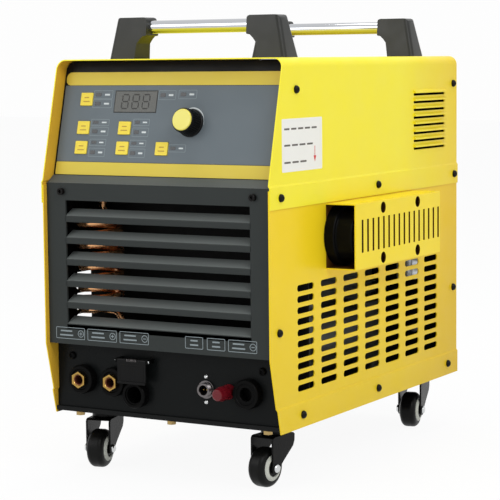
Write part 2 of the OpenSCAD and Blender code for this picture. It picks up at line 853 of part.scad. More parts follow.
// The control panel's openings, as holes along the panel's normal
module panel_openings(margin) {
    for (k = key_places) on_panel(k[0], panel_z + k[1])
        cube([key_w + 2 * margin, key_h + 2 * margin, 12], center = true);
    on_panel(knob_x, panel_z + knob_z) cylinder(h = 12, r = 4, center = true);
    on_panel(display_x, panel_z + display_z)
        cube([display_w + 2 * margin, display_h + 2 * margin, 12], center = true);
}

// The plate's outline, with upper corners that clear the cover's rounded ones
module plate_outline(height) {
    translate([-inner_half, 0]) square([2 * inner_half, height - corner_r]);
    translate([-inner_half + corner_r, 0]) square([2 * (inner_half - corner_r), height]);
    for (s = [-1, 1]) translate([s * (inner_half - corner_r), height - corner_r]) circle(corner_r);
}

module control_panel() {
    height = slope_len(panel_top_z - panel_z);
    flange = 28;
    color(charcoal) placed() difference() {
        on_panel(0, panel_z) {
            translate([0, 0, -plate_t]) linear_extrude(plate_t) plate_outline(height);
            for (s = [-1, 1])
                translate([s * (inner_half - sheet_t / 2) - sheet_t / 2, 4, -flange])
                    cube([sheet_t, height - 16, flange - plate_t / 2]);
        }
        panel_openings(seat_gap);
        side_screw_holes([cover_screws[0]]);
    }
}

// A strip of film on the panel, from one height to another above the lower edge
module film(h0, h1, r) {
    overlay_w = 2 * (inner_half - overlay_margin);
    on_panel(0, panel_z + (h0 + h1) / 2) linear_extrude(film_t)
        rounded_rect(overlay_w, slope_len(h1 - h0), r);
}

module panel_overlay() {
    color(slate) placed() difference() {
        film(overlay_z, strip_top_z, 1);
        panel_openings(seat_gap);
    }
}

module panel_bands() {
    color(yellow) placed() {
        film(0.5, strip_h - 0.1, 1);
        film(strip_top_z + 0.1, strip_top_z + strip_h, 7);
    }
}

module display_window() {
    color([0.30, 0.30, 0.28]) placed() on_panel(display_x, panel_z + display_z)
        translate([-display_w / 2, -display_h / 2, -plate_t])
            cube([display_w, display_h, plate_t + film_t + 0.2]);
}

module key(i) {
    place = key_places[i];
    wide = key_w + 2 * (key_flange + seat_gap);
    tall = key_h + 2 * (key_flange + seat_gap);
    stem = plate_t + seat_gap + 0.5;
    color(yellow) placed() on_panel(place[0], panel_z + place[1]) {
        translate([0, 0, -stem]) linear_extrude(stem + film_t + key_proud)
            rounded_rect(key_w, key_h, 1);
        translate([-wide / 2, -tall / 2, -key_back]) cube([wide, tall, key_flange_t]);
    }
}

shaft_r = 3;
shaft_len = 14;

module knob() {
    flutes = 20;
    color(black) placed() on_panel(knob_x, panel_z + knob_z)
        translate([0, 0, film_t + 0.3]) difference() {
            union() {
                cylinder(h = 3, r = knob_r + 1);
                cylinder(h = knob_len, r1 = knob_r, r2 = knob_r - 1.5);
            }
            translate([0, 0, -cut_over]) cylinder(h = shaft_len + cut_over + 0.5, r = shaft_r + fit_gap);
            for (i = [0 : flutes - 1]) rotate(i * 360 / flutes)
                translate([knob_r + 0.2, 0, 3]) cylinder(h = knob_len, r = 1.2, $fn = 16);
        }
}

module knob_cap() {
    color(yellow) placed() on_panel(knob_x, panel_z + knob_z)
        translate([0, 0, film_t + 0.3 + knob_len]) {
            cylinder(h = 1.2, r = knob_r - 3);
            translate([0, 0, 1.2]) cylinder(h = 0.8, r1 = knob_r - 3, r2 = knob_r - 4);
        }
}

// The control board with its key switches and encoder, and the inverter board on the heat sink
module circuit_boards() {
    board_w = 220;
    board_h = 92;
    color(green) placed() {
        on_panel(-30, panel_z + 61) translate([0, 0, -board_gap - switch_h - board_t]) {
            translate([-board_w / 2, -board_h / 2, 0]) cube([board_w, board_h, board_t]);
            for (sx = [-1, 1], sy = [-1, 1])
                translate([sx * (board_w / 2 - 5), sy * (board_h / 2 - 5), 0])
                    cylinder(h = board_t + switch_h + board_gap - plate_t, r = 3);
        }
        for (k = key_places) on_panel(k[0], panel_z + k[1])
            translate([-3, -3, -board_gap - switch_h - 0.1]) cube([6, 6, switch_h + 0.1]);
        on_panel(knob_x, panel_z + knob_z) {
            translate([-7, -7, -board_gap - switch_h - 0.1])
                cube([14, 14, board_gap + switch_h - plate_t - 0.2]);
            translate([0, 0, -plate_t - 1]) cylinder(h = plate_t + 1 + film_t + shaft_len, r = shaft_r);
        }
        inverter_board();
    }
}

// ---- Connector bay -----------------------------------------------------------------

bay_y = front_y + bay_recess;
bay_lug = [16, 40];
socket_inset = 42;
socket_x = half_w - socket_inset;
socket_pitch = 46.5;
socket_z = base_z + socket_h;
torch_step = 32;
torch_up = 29;
torch_back = 35;
torch_bore_back = 30;
torch_x = -socket_x + socket_pitch + torch_step;
torch_z = base_z + torch_up;
torch_out = socket_out + 0.4;
post_step = 28;
control_step = 32;
bay_screw_inset = [24, 17];
post_x = socket_x - post_step;
control_x = post_x - control_step;
bay_screw_x = half_w - bay_screw_inset[0];
bay_screw_z = bay_top_z - bay_screw_inset[1];
neck_r = 13;
output_xs = [-socket_x, -socket_x + socket_pitch, socket_x];
flap_hinge_up = 71.6;
flap_hinge_z = base_z + flap_hinge_up;
flap_pin_r = 1.2;
flap_knuckle_r = 2.6;
flap_t = 2;
flap_hinge_out = torch_out + seat_gap - flap_knuckle_r + flap_t;

module connector_panel() {
    tab_half = inner_half - grille_t - seat_gap;
    tab_h = grille_t + 6;
    color(black) placed() difference() {
        union() {
            translate([-inner_half, bay_y, floor_z])
                cube([2 * inner_half, sheet_t, bay_top_z - floor_z]);
            translate([-tab_half, bay_y, bay_top_z - 1]) cube([2 * tab_half, sheet_t, tab_h + 1]);
            both_sides() translate([inner_half - 2 * sheet_t, bay_y, floor_z + flange_h + 4])
                cube([sheet_t, bay_lug[0], bay_lug[1]]);
        }
        for (x = output_xs) facing_front(x, bay_y + 2 * sheet_t, socket_z)
            cylinder(h = 4 * sheet_t, r = neck_r + seat_gap);
        facing_front(torch_x, bay_y + 2 * sheet_t, torch_z)
            cylinder(h = 4 * sheet_t, r = torch_r - 3 + seat_gap);
        facing_front(control_x, bay_y + 2 * sheet_t, socket_z)
            cylinder(h = 4 * sheet_t, r = 7 + seat_gap);
        facing_front(post_x, bay_y + 2 * sheet_t, socket_z)
            cylinder(h = 4 * sheet_t, r = 3 + seat_gap);
        for (s = [-1, 1]) facing_front(s * bay_screw_x, bay_y + 2 * sheet_t, bay_screw_z)
            cylinder(h = 4 * sheet_t, r = screw_hole_r);
        for (s = [-1, 1])
            facing_front(control_x, bay_y + 2 * sheet_t, socket_z + s * control_screw_dz)
                cylinder(h = 4 * sheet_t, r = screw_hole_r - 0.5);
    }
}

insert_r = 8;
insert_len = 40;

earth_recess = 8;

module output_sockets() {
    color(black) placed() for (x = output_xs) facing_front(x, bay_y, socket_z) difference() {
        union() {
            cylinder(h = socket_out, r = socket_r);
            translate([0, 0, -30]) cylinder(h = 31, r = neck_r);
            translate([0, 0, -sheet_t - 6]) cylinder(h = 6, r = neck_r + 3, $fn = 6);
        }
        translate([0, 0, -31]) cylinder(h = 32 + socket_out, r = insert_r + fit_gap);
    }
}

// Brass sleeves: two with a hexagon in front, and a sunk one in the earth socket
module socket_inserts() {
    color(brass) placed() for (x = output_xs) facing_front(x, bay_y - socket_out, socket_z) {
        sunk = x > 0 ? earth_recess : 0;
        difference() {
            union() {
                if (x < 0) rotate(30) cylinder(h = 4, r = hex_af / 2 / cos(30), $fn = 6);
                translate([0, 0, -insert_len]) cylinder(h = insert_len - sunk + 0.5, r = insert_r);
            }
            translate([0, 0, -insert_len + 6]) cylinder(h = insert_len, r = socket_bore_r);
        }
    }
}

module torch_socket() {
    color(black) placed() {
        facing_front(torch_x, bay_y, torch_z) difference() {
            union() {
                cylinder(h = torch_out, r = torch_r);
                translate([0, 0, -torch_back]) cylinder(h = torch_back + 1, r = torch_r - 3);
            }
            translate([0, 0, -torch_bore_back])
                cylinder(h = torch_bore_back + 1 + torch_out, r = torch_bore_r);
        }
        // Hinge ears on the panel
        for (s = [-1, 1]) difference() {
            translate([torch_x + s * (flap_w / 2 + 1.8) - 1.5, bay_y - flap_hinge_out - flap_knuckle_r,
                       flap_hinge_z - flap_knuckle_r])
                cube([3, flap_hinge_out + flap_knuckle_r, 2 * flap_knuckle_r]);
            translate([torch_x + s * (flap_w / 2 + 1.8), bay_y - flap_hinge_out, flap_hinge_z])
                rotate([0, 90, 0]) cylinder(h = 6, r = flap_pin_r + fit_gap, center = true);
        }
    }
}

module torch_flap() {
    color([0.25, 0.25, 0.25]) placed()
        translate([torch_x, bay_y - flap_hinge_out, flap_hinge_z]) {
            rotate([0, 90, 0]) cylinder(h = flap_w, r = flap_knuckle_r, center = true);
            rotate([0, 90, 0]) cylinder(h = flap_w + 6.6, r = flap_pin_r, center = true);
            translate([-flap_w / 2, -flap_knuckle_r, -flap_len]) cube([flap_w, flap_t, flap_len]);
            translate([-flap_w / 2, -flap_knuckle_r - 1.5, -flap_len]) cube([flap_w, flap_t, 3]);
        }
}

control_screw_dz = 15.4;

module control_socket() {
    color(steel) placed() {
        facing_front(control_x, bay_y, socket_z) {
            difference() {
                union() {
                    cylinder(h = 2, r = 11);
                    cylinder(h = 8, r = 8.5);
                    translate([0, 0, -18]) cylinder(h = 19, r = 7);
                }
                translate([0, 0, -10]) cylinder(h = 19, r = 6);
            }
            for (a = [0, 180]) rotate(a) translate([2.2, 0, -11]) cylinder(h = 14, r = 1);
        }
        for (s = [-1, 1]) facing_front(control_x, bay_y, socket_z + s * control_screw_dz) {
            cylinder(h = 2.4, r = 2.6);
            translate([0, 0, -6]) cylinder(h = 7, r = 1.5);
        }
    }
}

stud_r = 2.5;

module pilot_post() {
    color([0.35, 0.06, 0.08]) placed() facing_front(post_x, bay_y, socket_z) {
        cylinder(h = post_out, r = cap_r + 1);
        translate([0, 0, -20]) cylinder(h = 21, r = 3);
        cylinder(h = post_out + cap_len - 6, r = stud_r);
    }
}

module pilot_cap() {
    color(red) placed() facing_front(post_x, bay_y - post_out - skin_gap, socket_z) difference() {
        union() {
            cylinder(h = cap_len - 3 - skin_gap, r1 = cap_r + 0.4, r2 = cap_r);
            translate([0, 0, cap_len - 3 - skin_gap]) cylinder(h = 3, r1 = cap_r, r2 = cap_r - 2.4);
        }
        translate([0, 0, -cut_over]) cylinder(h = cap_len - 5 + cut_over, r = stud_r + fit_gap);
    }
}

// ---- Filter hood -------------------------------------------------------------------

filter_proud = 6.5;
filter_y = hood_y0 + filter_r - filter_proud;
filter_z = hood_z0 + hood_h / 2;
filter_neck_r = 18;
hood_wall = 1.5;
hood_lip = 16;
hood_slot_w = 4.8;
hood_slot_len = 40;
hood_slot_pitch = (hood_l - 24) / (hood_slots - 1);
access_r = 7;

module filter_hood() {
    color(yellow) placed() difference() {
        union() {
            difference() {
                translate([half_w, hood_y0, hood_z0]) cube([hood_out, hood_l, hood_h]);
                translate([half_w - cut_over, hood_y0 - cut_over, hood_z0 + hood_wall])
                    cube([hood_out - hood_wall + cut_over, hood_l - hood_wall + cut_over,
                          hood_h - 2 * hood_wall]);
            }
            // Fixing lips against the side panel, behind the filter
            for (z = [hood_z0, hood_z0 + hood_h - hood_lip])
                translate([half_w, filter_y + filter_r + 2, z])
                    cube([sheet_t, hood_l - 2 * filter_r - 3, hood_lip]);
        }
        for (i = [0 : hood_slots - 1])
            translate([half_w + hood_out - 2 * hood_wall,
                       hood_y0 + 19 - hood_slot_w / 2 + i * hood_slot_pitch * 0.995,
                       hood_z0 + (hood_h - hood_slot_len) / 2])
                cube([4 * hood_wall, hood_slot_w, hood_slot_len]);
        for (p = hood_screws) {
            translate([half_w + hood_out - 2 * hood_wall, p[0], p[1]]) rotate([0, 90, 0])
                cylinder(h = 4 * hood_wall, r = access_r);
            translate([half_w - cut_over, p[0], p[1]]) rotate([0, 90, 0])
                cylinder(h = 4 * sheet_t, r = screw_hole_r);
        }
    }
}

module air_filter() {
    step = 14;
    color(black) placed() translate([half_w, filter_y, filter_z]) rotate([0, 90, 0]) {
        cylinder(h = step, r = filter_r);
        translate([0, 0, step - 1]) cylinder(h = hood_out - hood_wall - 3 - step, r = filter_r - 4.5);
        translate([0, 0, -22]) cylinder(h = 23, r = filter_neck_r);
    }
}

// ---- Handles -----------------------------------------------------------------------

sleeve_x = bracket_x - 55;
tube_in = 20;
tube_wall = 1.5;
handle_ys = [front_y + handle_front, rear_y - handle_rear];
bracket_top = tube_h + tube_r + 4;
bracket_lean = 10.5;
bracket_edge_r = 6;

// The bracket seen from the front, on the +X side, above the cover
module bracket_front() {
    tube_under = tube_h - tube_r;
    leg_x = bracket_x - 38.5;
    polygon([
        [bracket_x + 1, 0], [bracket_x + 1, bracket_top - 6.5],
        [bracket_x - 9.5, bracket_top - 6.5], [bracket_x - 10.8, bracket_top - 2.8],
        [bracket_x - 13, bracket_top - 0.8], [bracket_x - 16, bracket_top],
        [sleeve_x + 4, bracket_top], [sleeve_x + 1.2, bracket_top - 1],
        [sleeve_x, bracket_top - 3], [sleeve_x, tube_under - 1.5],
        [sleeve_x + 1, tube_under - 2.4], [sleeve_x + 5, tube_under - 3],
        [sleeve_x + 9.5, tube_under - 7], [leg_x - 3, tube_under - 12], [leg_x, 0]
    ]);
}

// A block that narrows from its foot to its top, with rounded upright edges
module bracket_block() {
    slab = 0.1;
    inner = sleeve_x - 10;
    hull() {
        translate([(inner + bracket_x) / 2, 1, 0]) linear_extrude(slab)
            rounded_rect(bracket_x - inner, 36, bracket_edge_r, $fn = 24);
        translate([(inner + bracket_x - bracket_lean) / 2, -1, bracket_top - slab])
            linear_extrude(slab)
                rounded_rect(bracket_x - bracket_lean - inner, 23, bracket_edge_r, $fn = 24);
    }
}

module handle_brackets() {
    color(black) placed() for (y = handle_ys) both_sides() translate([0, y, top_z])
        difference() {
            intersection() {
                along_y(-20, 22) bracket_front();
                bracket_block();
            }
            translate([sleeve_x - cut_over, 0, tube_h]) rotate([0, 90, 0])
                cylinder(h = tube_in + cut_over + 1, r = tube_r + fit_gap);
        }
}

module handle_tubes() {
    color(steel) placed() for (y = handle_ys) translate([-sleeve_x - tube_in, y, top_z + tube_h])
        rotate([0, 90, 0]) tube(tube_r, tube_r - tube_wall, 2 * (sleeve_x + tube_in));
}

// ---- Inside ------------------------------------------------------------------------

shelf_z = base_z + shelf_h;
shelf_top = shelf_z + sheet_t;
shelf_front = front_y + 40;
shelf_rear = fan_front_y - 2;
apron_depth = 97;
apron_y = front_y + apron_depth;

// The shelf, with an apron behind the coil that reaches down to the base pan
module mid_shelf() {
    color(steel) placed() {
        translate([-inner_half + seat_gap, apron_y, floor_z + seat_gap])
            cube([2 * (inner_half - seat_gap), sheet_t, shelf_z - floor_z]);
        translate([-inner_half, shelf_front, shelf_z])
            cube([2 * inner_half, shelf_rear - shelf_front, sheet_t]);
        both_sides() translate([inner_half - sheet_t, shelf_front, shelf_z - 12])
            cube([sheet_t, shelf_rear - shelf_front, 12.5]);
    }
}

sink_w = 140;
sink_l = 190;
sink_h = 50;
sink_x = 55;
sink_y = -30;

module heat_sink() {
    fins = 13;
    color(steel) placed() translate([sink_x, sink_y, shelf_top]) along_y(-sink_l / 2, sink_l / 2) {
        translate([-sink_w / 2, sink_h - 8]) square([sink_w, 8]);
        for (i = [0 : fins - 1])
            translate([-sink_w / 2 + i * (sink_w - 2.5) / (fins - 1), 0]) square([2.5, sink_h - 7]);
    }
}

module inverter_board() {
    z = shelf_top + sink_h;
    translate([sink_x, sink_y, z]) {
        for (sx = [-1, 1], sy = [-1, 1])
            translate([sx * (sink_w / 2 - 8), sy * (sink_l / 2 - 8), 0]) cylinder(h = 8.5, r = 3);
        translate([-sink_w / 2, -sink_l / 2, 8]) cube([sink_w, sink_l, board_t]);
        for (i = [0 : 3]) translate([-40 + i * 27, 55, 8]) cylinder(h = 45, r = 12);
    }
}

core_inset = 85;
core_x = core_inset - half_w;
core_y = 60;
core_size = [80, 70, 75];
core_window = [20, 51];
core_foot = 12;
winding_l = 84;

// A laminated core with two windows, each filled by a winding
module transformer() {
    window_x = core_size[0] / 4;
    window = [core_window[0], core_size[1] + 2 * cut_over, core_window[1]];
    winding = [core_window[0] - 1, winding_l, core_window[1] - 1];
    color(copper) placed() translate([core_x, core_y, shelf_top]) {
        difference() {
            translate([-core_size[0] / 2, -core_size[1] / 2, 0]) cube(core_size);
            for (s = [-1, 1])
                translate([s * window_x - window[0] / 2, -window[1] / 2, core_foot]) cube(window);
        }
        for (s = [-1, 1])
            translate([s * window_x - winding[0] / 2, -winding_l / 2, core_foot + 0.5]) cube(winding);
    }
}

motor_r = 46;
motor_len = 160;
motor_x = 35;
motor_y = 70;
mount_h = 12;
mount_r = 9;
mount_dx = 34;
mount_dy = 112;
crank_w = 84;
crank_l = 48;
crank_dy = 100;
head_w = 56;
head_l = 44;
head_h = 30;
fin_w = 68;
fin_pitch = 7;
fin_count = 5;
lid_w = 60;
lid_h = 26;

// The motor lies across the case's length, with a crankcase and a finned head at each end
module compressor() {
    motor_z = floor_z + mount_h + motor_r;
    color([0.62, 0.63, 0.65]) placed() translate([motor_x, motor_y, 0]) {
        translate([0, motor_len / 2, motor_z]) rotate([90, 0, 0])
            cylinder(h = motor_len, r = motor_r);
        for (s = [-1, 1]) translate([0, s * crank_dy, motor_z]) compressor_end();
        for (sx = [-1, 1], sy = [-1, 1]) translate([sx * mount_dx, sy * mount_dy, floor_z])
            cylinder(h = mount_h + 8, r = mount_r);
    }
}

// A crankcase about the motor's axis, with its finned head and the head's lid above
module compressor_end() {
    fins_z = crank_w / 2 + 4;
    translate([-crank_w / 2, -crank_l / 2, -crank_w / 2]) cube([crank_w, crank_l, crank_w]);
    translate([-head_w / 2, -head_l / 2, crank_w / 2 - 1]) cube([head_w, head_l, head_h]);
    for (k = [0 : fin_count - 1]) translate([-fin_w / 2, -crank_l / 2, fins_z + k * fin_pitch])
        cube([fin_w, crank_l, 2.5]);
    translate([-lid_w / 2, -head_l / 2, fins_z + 2 * fin_pitch]) cube([lid_w, head_l, lid_h]);
}

coil_x = 44 - half_w;
coil_y = front_y + 60;
coil_z0 = grille_top_z - 45 - coil_turns * coil_pitch;
coil_z1 = coil_z0 + coil_turns * coil_pitch;
bend_r = 13;
fitting_h = 9;
coil_steps = 24;
coil_sides = 6;

// The coil's route: up from the lower fitting, round the helix, and up to the upper fitting
coil_route = concat(
    [[bend_r, coil_r, floor_z + fitting_h], [bend_r, coil_r, floor_z + fitting_h + 12]],
    [for (a = [0 : 18 : 72]) [bend_r * cos(a), coil_r, coil_z0 - bend_r + bend_r * sin(a)]],
    [for (i = [0 : coil_turns * coil_steps]) let (a = 90 + i * 360 / coil_steps)
        [coil_r * cos(a), coil_r * sin(a), coil_z0 + i * coil_pitch / coil_steps]],
    [for (a = [18 : 18 : 90]) [-bend_r * sin(a), coil_r, coil_z1 + bend_r * (1 - cos(a))]],
    [[-bend_r, coil_r, shelf_z - fitting_h]]
);

function unit(v) = v / norm(v);
function last(v) = v[len(v) - 1];
function tangent(path, i) =
    i == 0 || i == len(path) - 1 ? [0, 0, 1] : unit(path[i + 1] - path[i - 1]);
function squared_off(v, t) = unit(v - (v * t) * t);

// A side vector at each point of the path, carried along without twist
function side_vectors(path) = [
    for (i = 0, u = [1, 0, 0]; i < len(path);
         i = i + 1, u = i < len(path) ? squared_off(u, tangent(path, i)) : u) u
];

module swept_tube(path, r, sides) {
    side = side_vectors(path);
    rings = len(path);
    points = [for (i = [0 : rings - 1]) let (t = tangent(path, i), u = side[i], v = cross(t, u))
        for (k = [0 : sides - 1]) path[i] + r * (cos(k * 360 / sides) * u + sin(k * 360 / sides) * v)];
    walls = [for (i = [0 : rings - 2], k = [0 : sides - 1])
        let (a = i * sides + k, b = i * sides + (k + 1) % sides)
        each [[a, a + sides, b], [b, a + sides, b + sides]]];
    ends = [for (k = [1 : sides - 2]) each [
        [0, k, k + 1],
        [(rings - 1) * sides, (rings - 1) * sides + k + 1, (rings - 1) * sides + k]]];
    polyhedron(points, concat(walls, ends));
}

coil_gap = min([for (i = [0 : len(coil_route) - 1], j = [i + coil_steps / 2 : 1 : len(coil_route) - 1])
    norm(coil_route[i] - coil_route[j])]) - 2 * coil_tube_r;
echo(cooling_coil_least_gap = coil_gap);

module cooling_coil() {
    color(copper) placed() translate([coil_x, coil_y, 0])
        swept_tube(coil_route, coil_tube_r, coil_sides);
}

regulator_w = 44;
regulator_h = 40;
regulator_inset = 42;
bowl_r = 18;
bowl_len = 134;

// A solenoid valve on the shelf, the coil's two fittings and a pressure regulator at the rear
module air_valve() {
    half_block = regulator_w / 2;
    color(steel) placed() {
        translate([half_w - regulator_inset, shelf_rear - half_block, shelf_z - bowl_len]) {
            cylinder(h = bowl_len, r = bowl_r);
            translate([-half_block, -half_block, bowl_len - regulator_h])
                cube([regulator_w, regulator_w, regulator_h]);
        }
        translate([coil_x + bend_r, coil_y + coil_r, floor_z]) cylinder(h = fitting_h, r = 8, $fn = 6);
        translate([coil_x - bend_r, coil_y + coil_r, shelf_z - fitting_h])
            cylinder(h = fitting_h, r = 8, $fn = 6);
        translate([coil_x - bend_r - 14, coil_y + coil_r - 14, shelf_top]) cube([45, 28, 28]);
        translate([coil_x - bend_r, coil_y + coil_r, shelf_top + 27]) cylinder(h = 34, r = 12);
    }
}

// ---- Drawing -----------------------------------------------------------------------

base_pan();
caster_plates();
caster_fork(front_left);  // caster_fork_fl
caster_fork(front_right);  // caster_fork_fr
caster_fork(rear_left);  // caster_fork_rl
caster_fork(rear_right);  // caster_fork_rr
caster_axle(front_left);  // caster_axle_fl
caster_axle(front_right);  // caster_axle_fr
caster_axle(rear_left);  // caster_axle_rl
caster_axle(rear_right);  // caster_axle_rr
caster_wheel(front_left);  // caster_wheel_fl
caster_wheel(front_right);  // caster_wheel_fr
caster_wheel(rear_left);  // caster_wheel_rl
caster_wheel(rear_right);  // caster_wheel_rr
caster_tyre(front_left);  // caster_tyre_fl
caster_tyre(front_right);  // caster_tyre_fr
caster_tyre(rear_left);  // caster_tyre_rl
caster_tyre(rear_right);  // caster_tyre_rr
top_cover();
side_panel_right();
side_panel_left();
rear_panel();
front_louvre_panel();
control_panel();
panel_overlay();
panel_bands();
display_window();
key(0);  // key_1
key(1);  // key_2
key(2);  // key_3
key(3);  // key_4
key(4);  // key_5
key(5);  // key_6
knob();
knob_cap();
circuit_boards();
connector_panel();
output_sockets();
socket_inserts();
torch_socket();
torch_flap();
control_socket();
pilot_post();
pilot_cap();
filter_hood();
air_filter();
handle_brackets();
handle_tubes();
fan_frame();
fan_rotor();
breaker_body();
breaker_lever();
cable_gland();
mid_shelf();
heat_sink();
transformer();
compressor();
air_valve();
cooling_coil();
case_screws();
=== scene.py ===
"""Dresses the plasma cutter unit: finishes, small fittings, printed panels, studio and camera."""

from __future__ import annotations

import json
import logging
import math
from dataclasses import dataclass, field
from enum import Enum
from typing import Any, Callable, Iterable, Sequence

import bmesh
import bpy
from mathutils import Matrix, Vector

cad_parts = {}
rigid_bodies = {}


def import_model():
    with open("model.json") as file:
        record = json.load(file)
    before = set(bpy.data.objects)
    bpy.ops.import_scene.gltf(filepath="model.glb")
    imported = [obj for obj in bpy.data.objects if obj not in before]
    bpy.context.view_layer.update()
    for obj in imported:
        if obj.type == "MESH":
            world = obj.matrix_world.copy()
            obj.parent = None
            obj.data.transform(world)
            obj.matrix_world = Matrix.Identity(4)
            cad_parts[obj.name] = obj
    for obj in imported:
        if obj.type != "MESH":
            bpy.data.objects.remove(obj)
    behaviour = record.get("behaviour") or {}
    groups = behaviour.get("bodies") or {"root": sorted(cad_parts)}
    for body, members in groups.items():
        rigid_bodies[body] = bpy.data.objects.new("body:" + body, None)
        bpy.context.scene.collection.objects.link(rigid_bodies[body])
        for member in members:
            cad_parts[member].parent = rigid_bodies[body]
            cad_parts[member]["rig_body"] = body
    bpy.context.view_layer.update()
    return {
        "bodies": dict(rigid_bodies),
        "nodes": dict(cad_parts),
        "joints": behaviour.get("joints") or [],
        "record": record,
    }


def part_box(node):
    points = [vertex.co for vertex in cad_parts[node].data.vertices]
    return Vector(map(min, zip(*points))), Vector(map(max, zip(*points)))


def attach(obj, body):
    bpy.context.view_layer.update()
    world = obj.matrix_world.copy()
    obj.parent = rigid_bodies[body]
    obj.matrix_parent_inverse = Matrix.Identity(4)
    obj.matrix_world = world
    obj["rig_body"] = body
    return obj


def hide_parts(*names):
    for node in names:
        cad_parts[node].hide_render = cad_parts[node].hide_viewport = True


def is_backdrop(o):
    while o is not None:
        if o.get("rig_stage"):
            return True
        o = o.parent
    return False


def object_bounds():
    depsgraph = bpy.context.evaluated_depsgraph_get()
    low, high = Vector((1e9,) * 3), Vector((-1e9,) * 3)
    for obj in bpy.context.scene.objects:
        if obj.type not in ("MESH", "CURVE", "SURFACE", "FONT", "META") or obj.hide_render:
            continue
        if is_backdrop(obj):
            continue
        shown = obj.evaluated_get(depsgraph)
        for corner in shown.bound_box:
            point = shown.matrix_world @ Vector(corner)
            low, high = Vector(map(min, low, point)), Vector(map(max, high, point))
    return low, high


LOG = logging.getLogger("plasma_cutter")
MM = 0.001
SMOOTH_BELOW = 32
EASE_ABOVE = 28
ALONG, UPWARD = Vector((0, 1, 0)), Vector((0, 0, 1))
AT_ORIGIN = Matrix.Identity(4)
Point = tuple[float, float]
Triple = tuple[float, float, float]


# ---- Places -------------------------------------------------------------------------


def axes(across: Vector, out: Vector) -> Matrix:
    """Returns the rotation that turns local X to one axis and local Z to another."""
    return Matrix((across, out.cross(across), out)).transposed().to_4x4()


def spun(degrees: float, axis: str = "Z") -> Matrix:
    """Returns a turn about a local axis."""
    return Matrix.Rotation(math.radians(degrees), 4, axis)


def moved(x: float, y: float, z: float) -> Matrix:
    """Returns a shift in millimetres."""
    return Matrix.Translation(Vector((x, y, z)) * MM)


class Facing(Enum):
    """Which way a fitting's local X and local Z point."""

    FRONT = ((1, 0, 0), (0, -1, 0))
    REAR = ((-1, 0, 0), (0, 1, 0))
    RIGHT = ((0, 1, 0), (1, 0, 0))
    LEFT = ((0, -1, 0), (-1, 0, 0))
    UP = ((1, 0, 0), (0, 0, 1))
    DOWN = ((1, 0, 0), (0, 0, -1))

    def turn(self) -> Matrix:
        """Returns the rotation from local axes to the row frame."""
        return axes(*(Vector(axis) for axis in self.value))


@dataclass(frozen=True)
class CaseFrame:
    """The case's own axes: X from its middle, depth from its front face, height from the floor."""

    middle: float
    front: float
    half_width: float = 160.0
    length: float = 528.0
    top: float = 511.0
    brow: float = 364.5
    brow_setback: float = 36.3
    panel_foot: float = 370.0
    panel_recess: float = 20.0
    knob: Point = (33.5, 434.0)

    @classmethod
    def read(cls) -> CaseFrame:
        """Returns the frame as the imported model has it."""
        low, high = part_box("front_louvre_panel")
        return cls((low.x + high.x) / 2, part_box("side_panel_left")[0].y)

    @property
    def tilt(self) -> float:
        """Returns the control panel's lean from upright, in radians."""
        return math.atan(self.brow_setback / (self.top - self.brow))

    def panel_depth(self, z: float) -> float:
        """Returns how far the control panel lies behind the front face at a height."""
        return self.panel_recess + math.tan(self.tilt) * (z - self.brow)

    def spot(self, x: float, depth: float, z: float) -> Vector:
        """Returns a point of the row frame from its place on the case in millimetres."""
        return Vector((self.middle + x * MM, self.front + depth * MM, z * MM))

    def centre(self, node: str) -> Vector:
        """Returns a node's middle as its place on the case in millimetres."""
        low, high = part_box(node)
        return ((low + high) / 2 - self.spot(0, 0, 0)) / MM

    def at(self, x: float, depth: float, z: float, facing: Facing = Facing.UP) -> Matrix:
        """Places a fitting.

        Args:
            x: millimetres to the right of the case's middle.
            depth: millimetres behind the front face.
            z: millimetres above the floor.
            facing: the way that the fitting points.

        Returns:
            The matrix from local metres to the row frame.
        """
        return Matrix.Translation(self.spot(x, depth, z)) @ facing.turn()

    def on_panel(self, x: float, z: float, out: float = 0.0) -> Matrix:
        """Places a fitting on the sloping control panel.

        Args:
            x: millimetres to the right of the case's middle.
            z: height of the point on the panel above the floor.
            out: millimetres out of the panel plate's face.

        Returns:
            The matrix, with X across, Y up the slope and Z out of the panel.
        """
        normal = Vector((0, -math.cos(self.tilt), math.sin(self.tilt)))
        where = self.spot(x, self.panel_depth(z), z) + normal * out * MM
        return Matrix.Translation(where) @ axes(Vector((1, 0, 0)), normal)


# ---- Finishes -----------------------------------------------------------------------


class Nodes:
    """A node tree, with short ways to add nodes and join them."""

    def __init__(self, tree: bpy.types.NodeTree) -> None:
        """Takes the tree."""
        self.tree = tree

    def add(self, kind: str, inputs: dict[str | int, Any] | None = None,
            **settings: Any) -> bpy.types.Node:
        """Adds a node.

        Args:
            kind: its type.
            inputs: what it takes in, as in feed.
            settings: its own properties.

        Returns:
            The node.
        """
        made = self.tree.nodes.new(kind)
        for key, value in settings.items():
            setattr(made, key, value)
        return self.feed(made, inputs or {})

    def feed(self, node: bpy.types.Node, inputs: dict[str | int, Any]) -> bpy.types.Node:
        """Sets or links a node's inputs.

        Args:
            node: the node.
            inputs: for each input a value, or a socket to link, or a node that stands for its
                first output. A list makes several links.

        Returns:
            The node.
        """
        for key, given in inputs.items():
            for value in given if isinstance(given, list) else [given]:
                if isinstance(value, bpy.types.Node):
                    value = value.outputs[0]
                if isinstance(value, bpy.types.NodeSocket):
                    self.tree.links.new(value, node.inputs[key])
                else:
                    node.inputs[key].default_value = value
        return node


def plain(*seen: int) -> Triple:
    """Turns red, green and blue from 0 to 255 into linear light.

    Args:
        seen: the colour, as seen.

    Returns:
        The linear colour.
    """
    shares = (value / 255 for value in seen)
    red, green, blue = (s / 12.92 if s <= 0.04045 else ((s + 0.055) / 1.055) ** 2.4 for s in shares)
    return red, green, blue


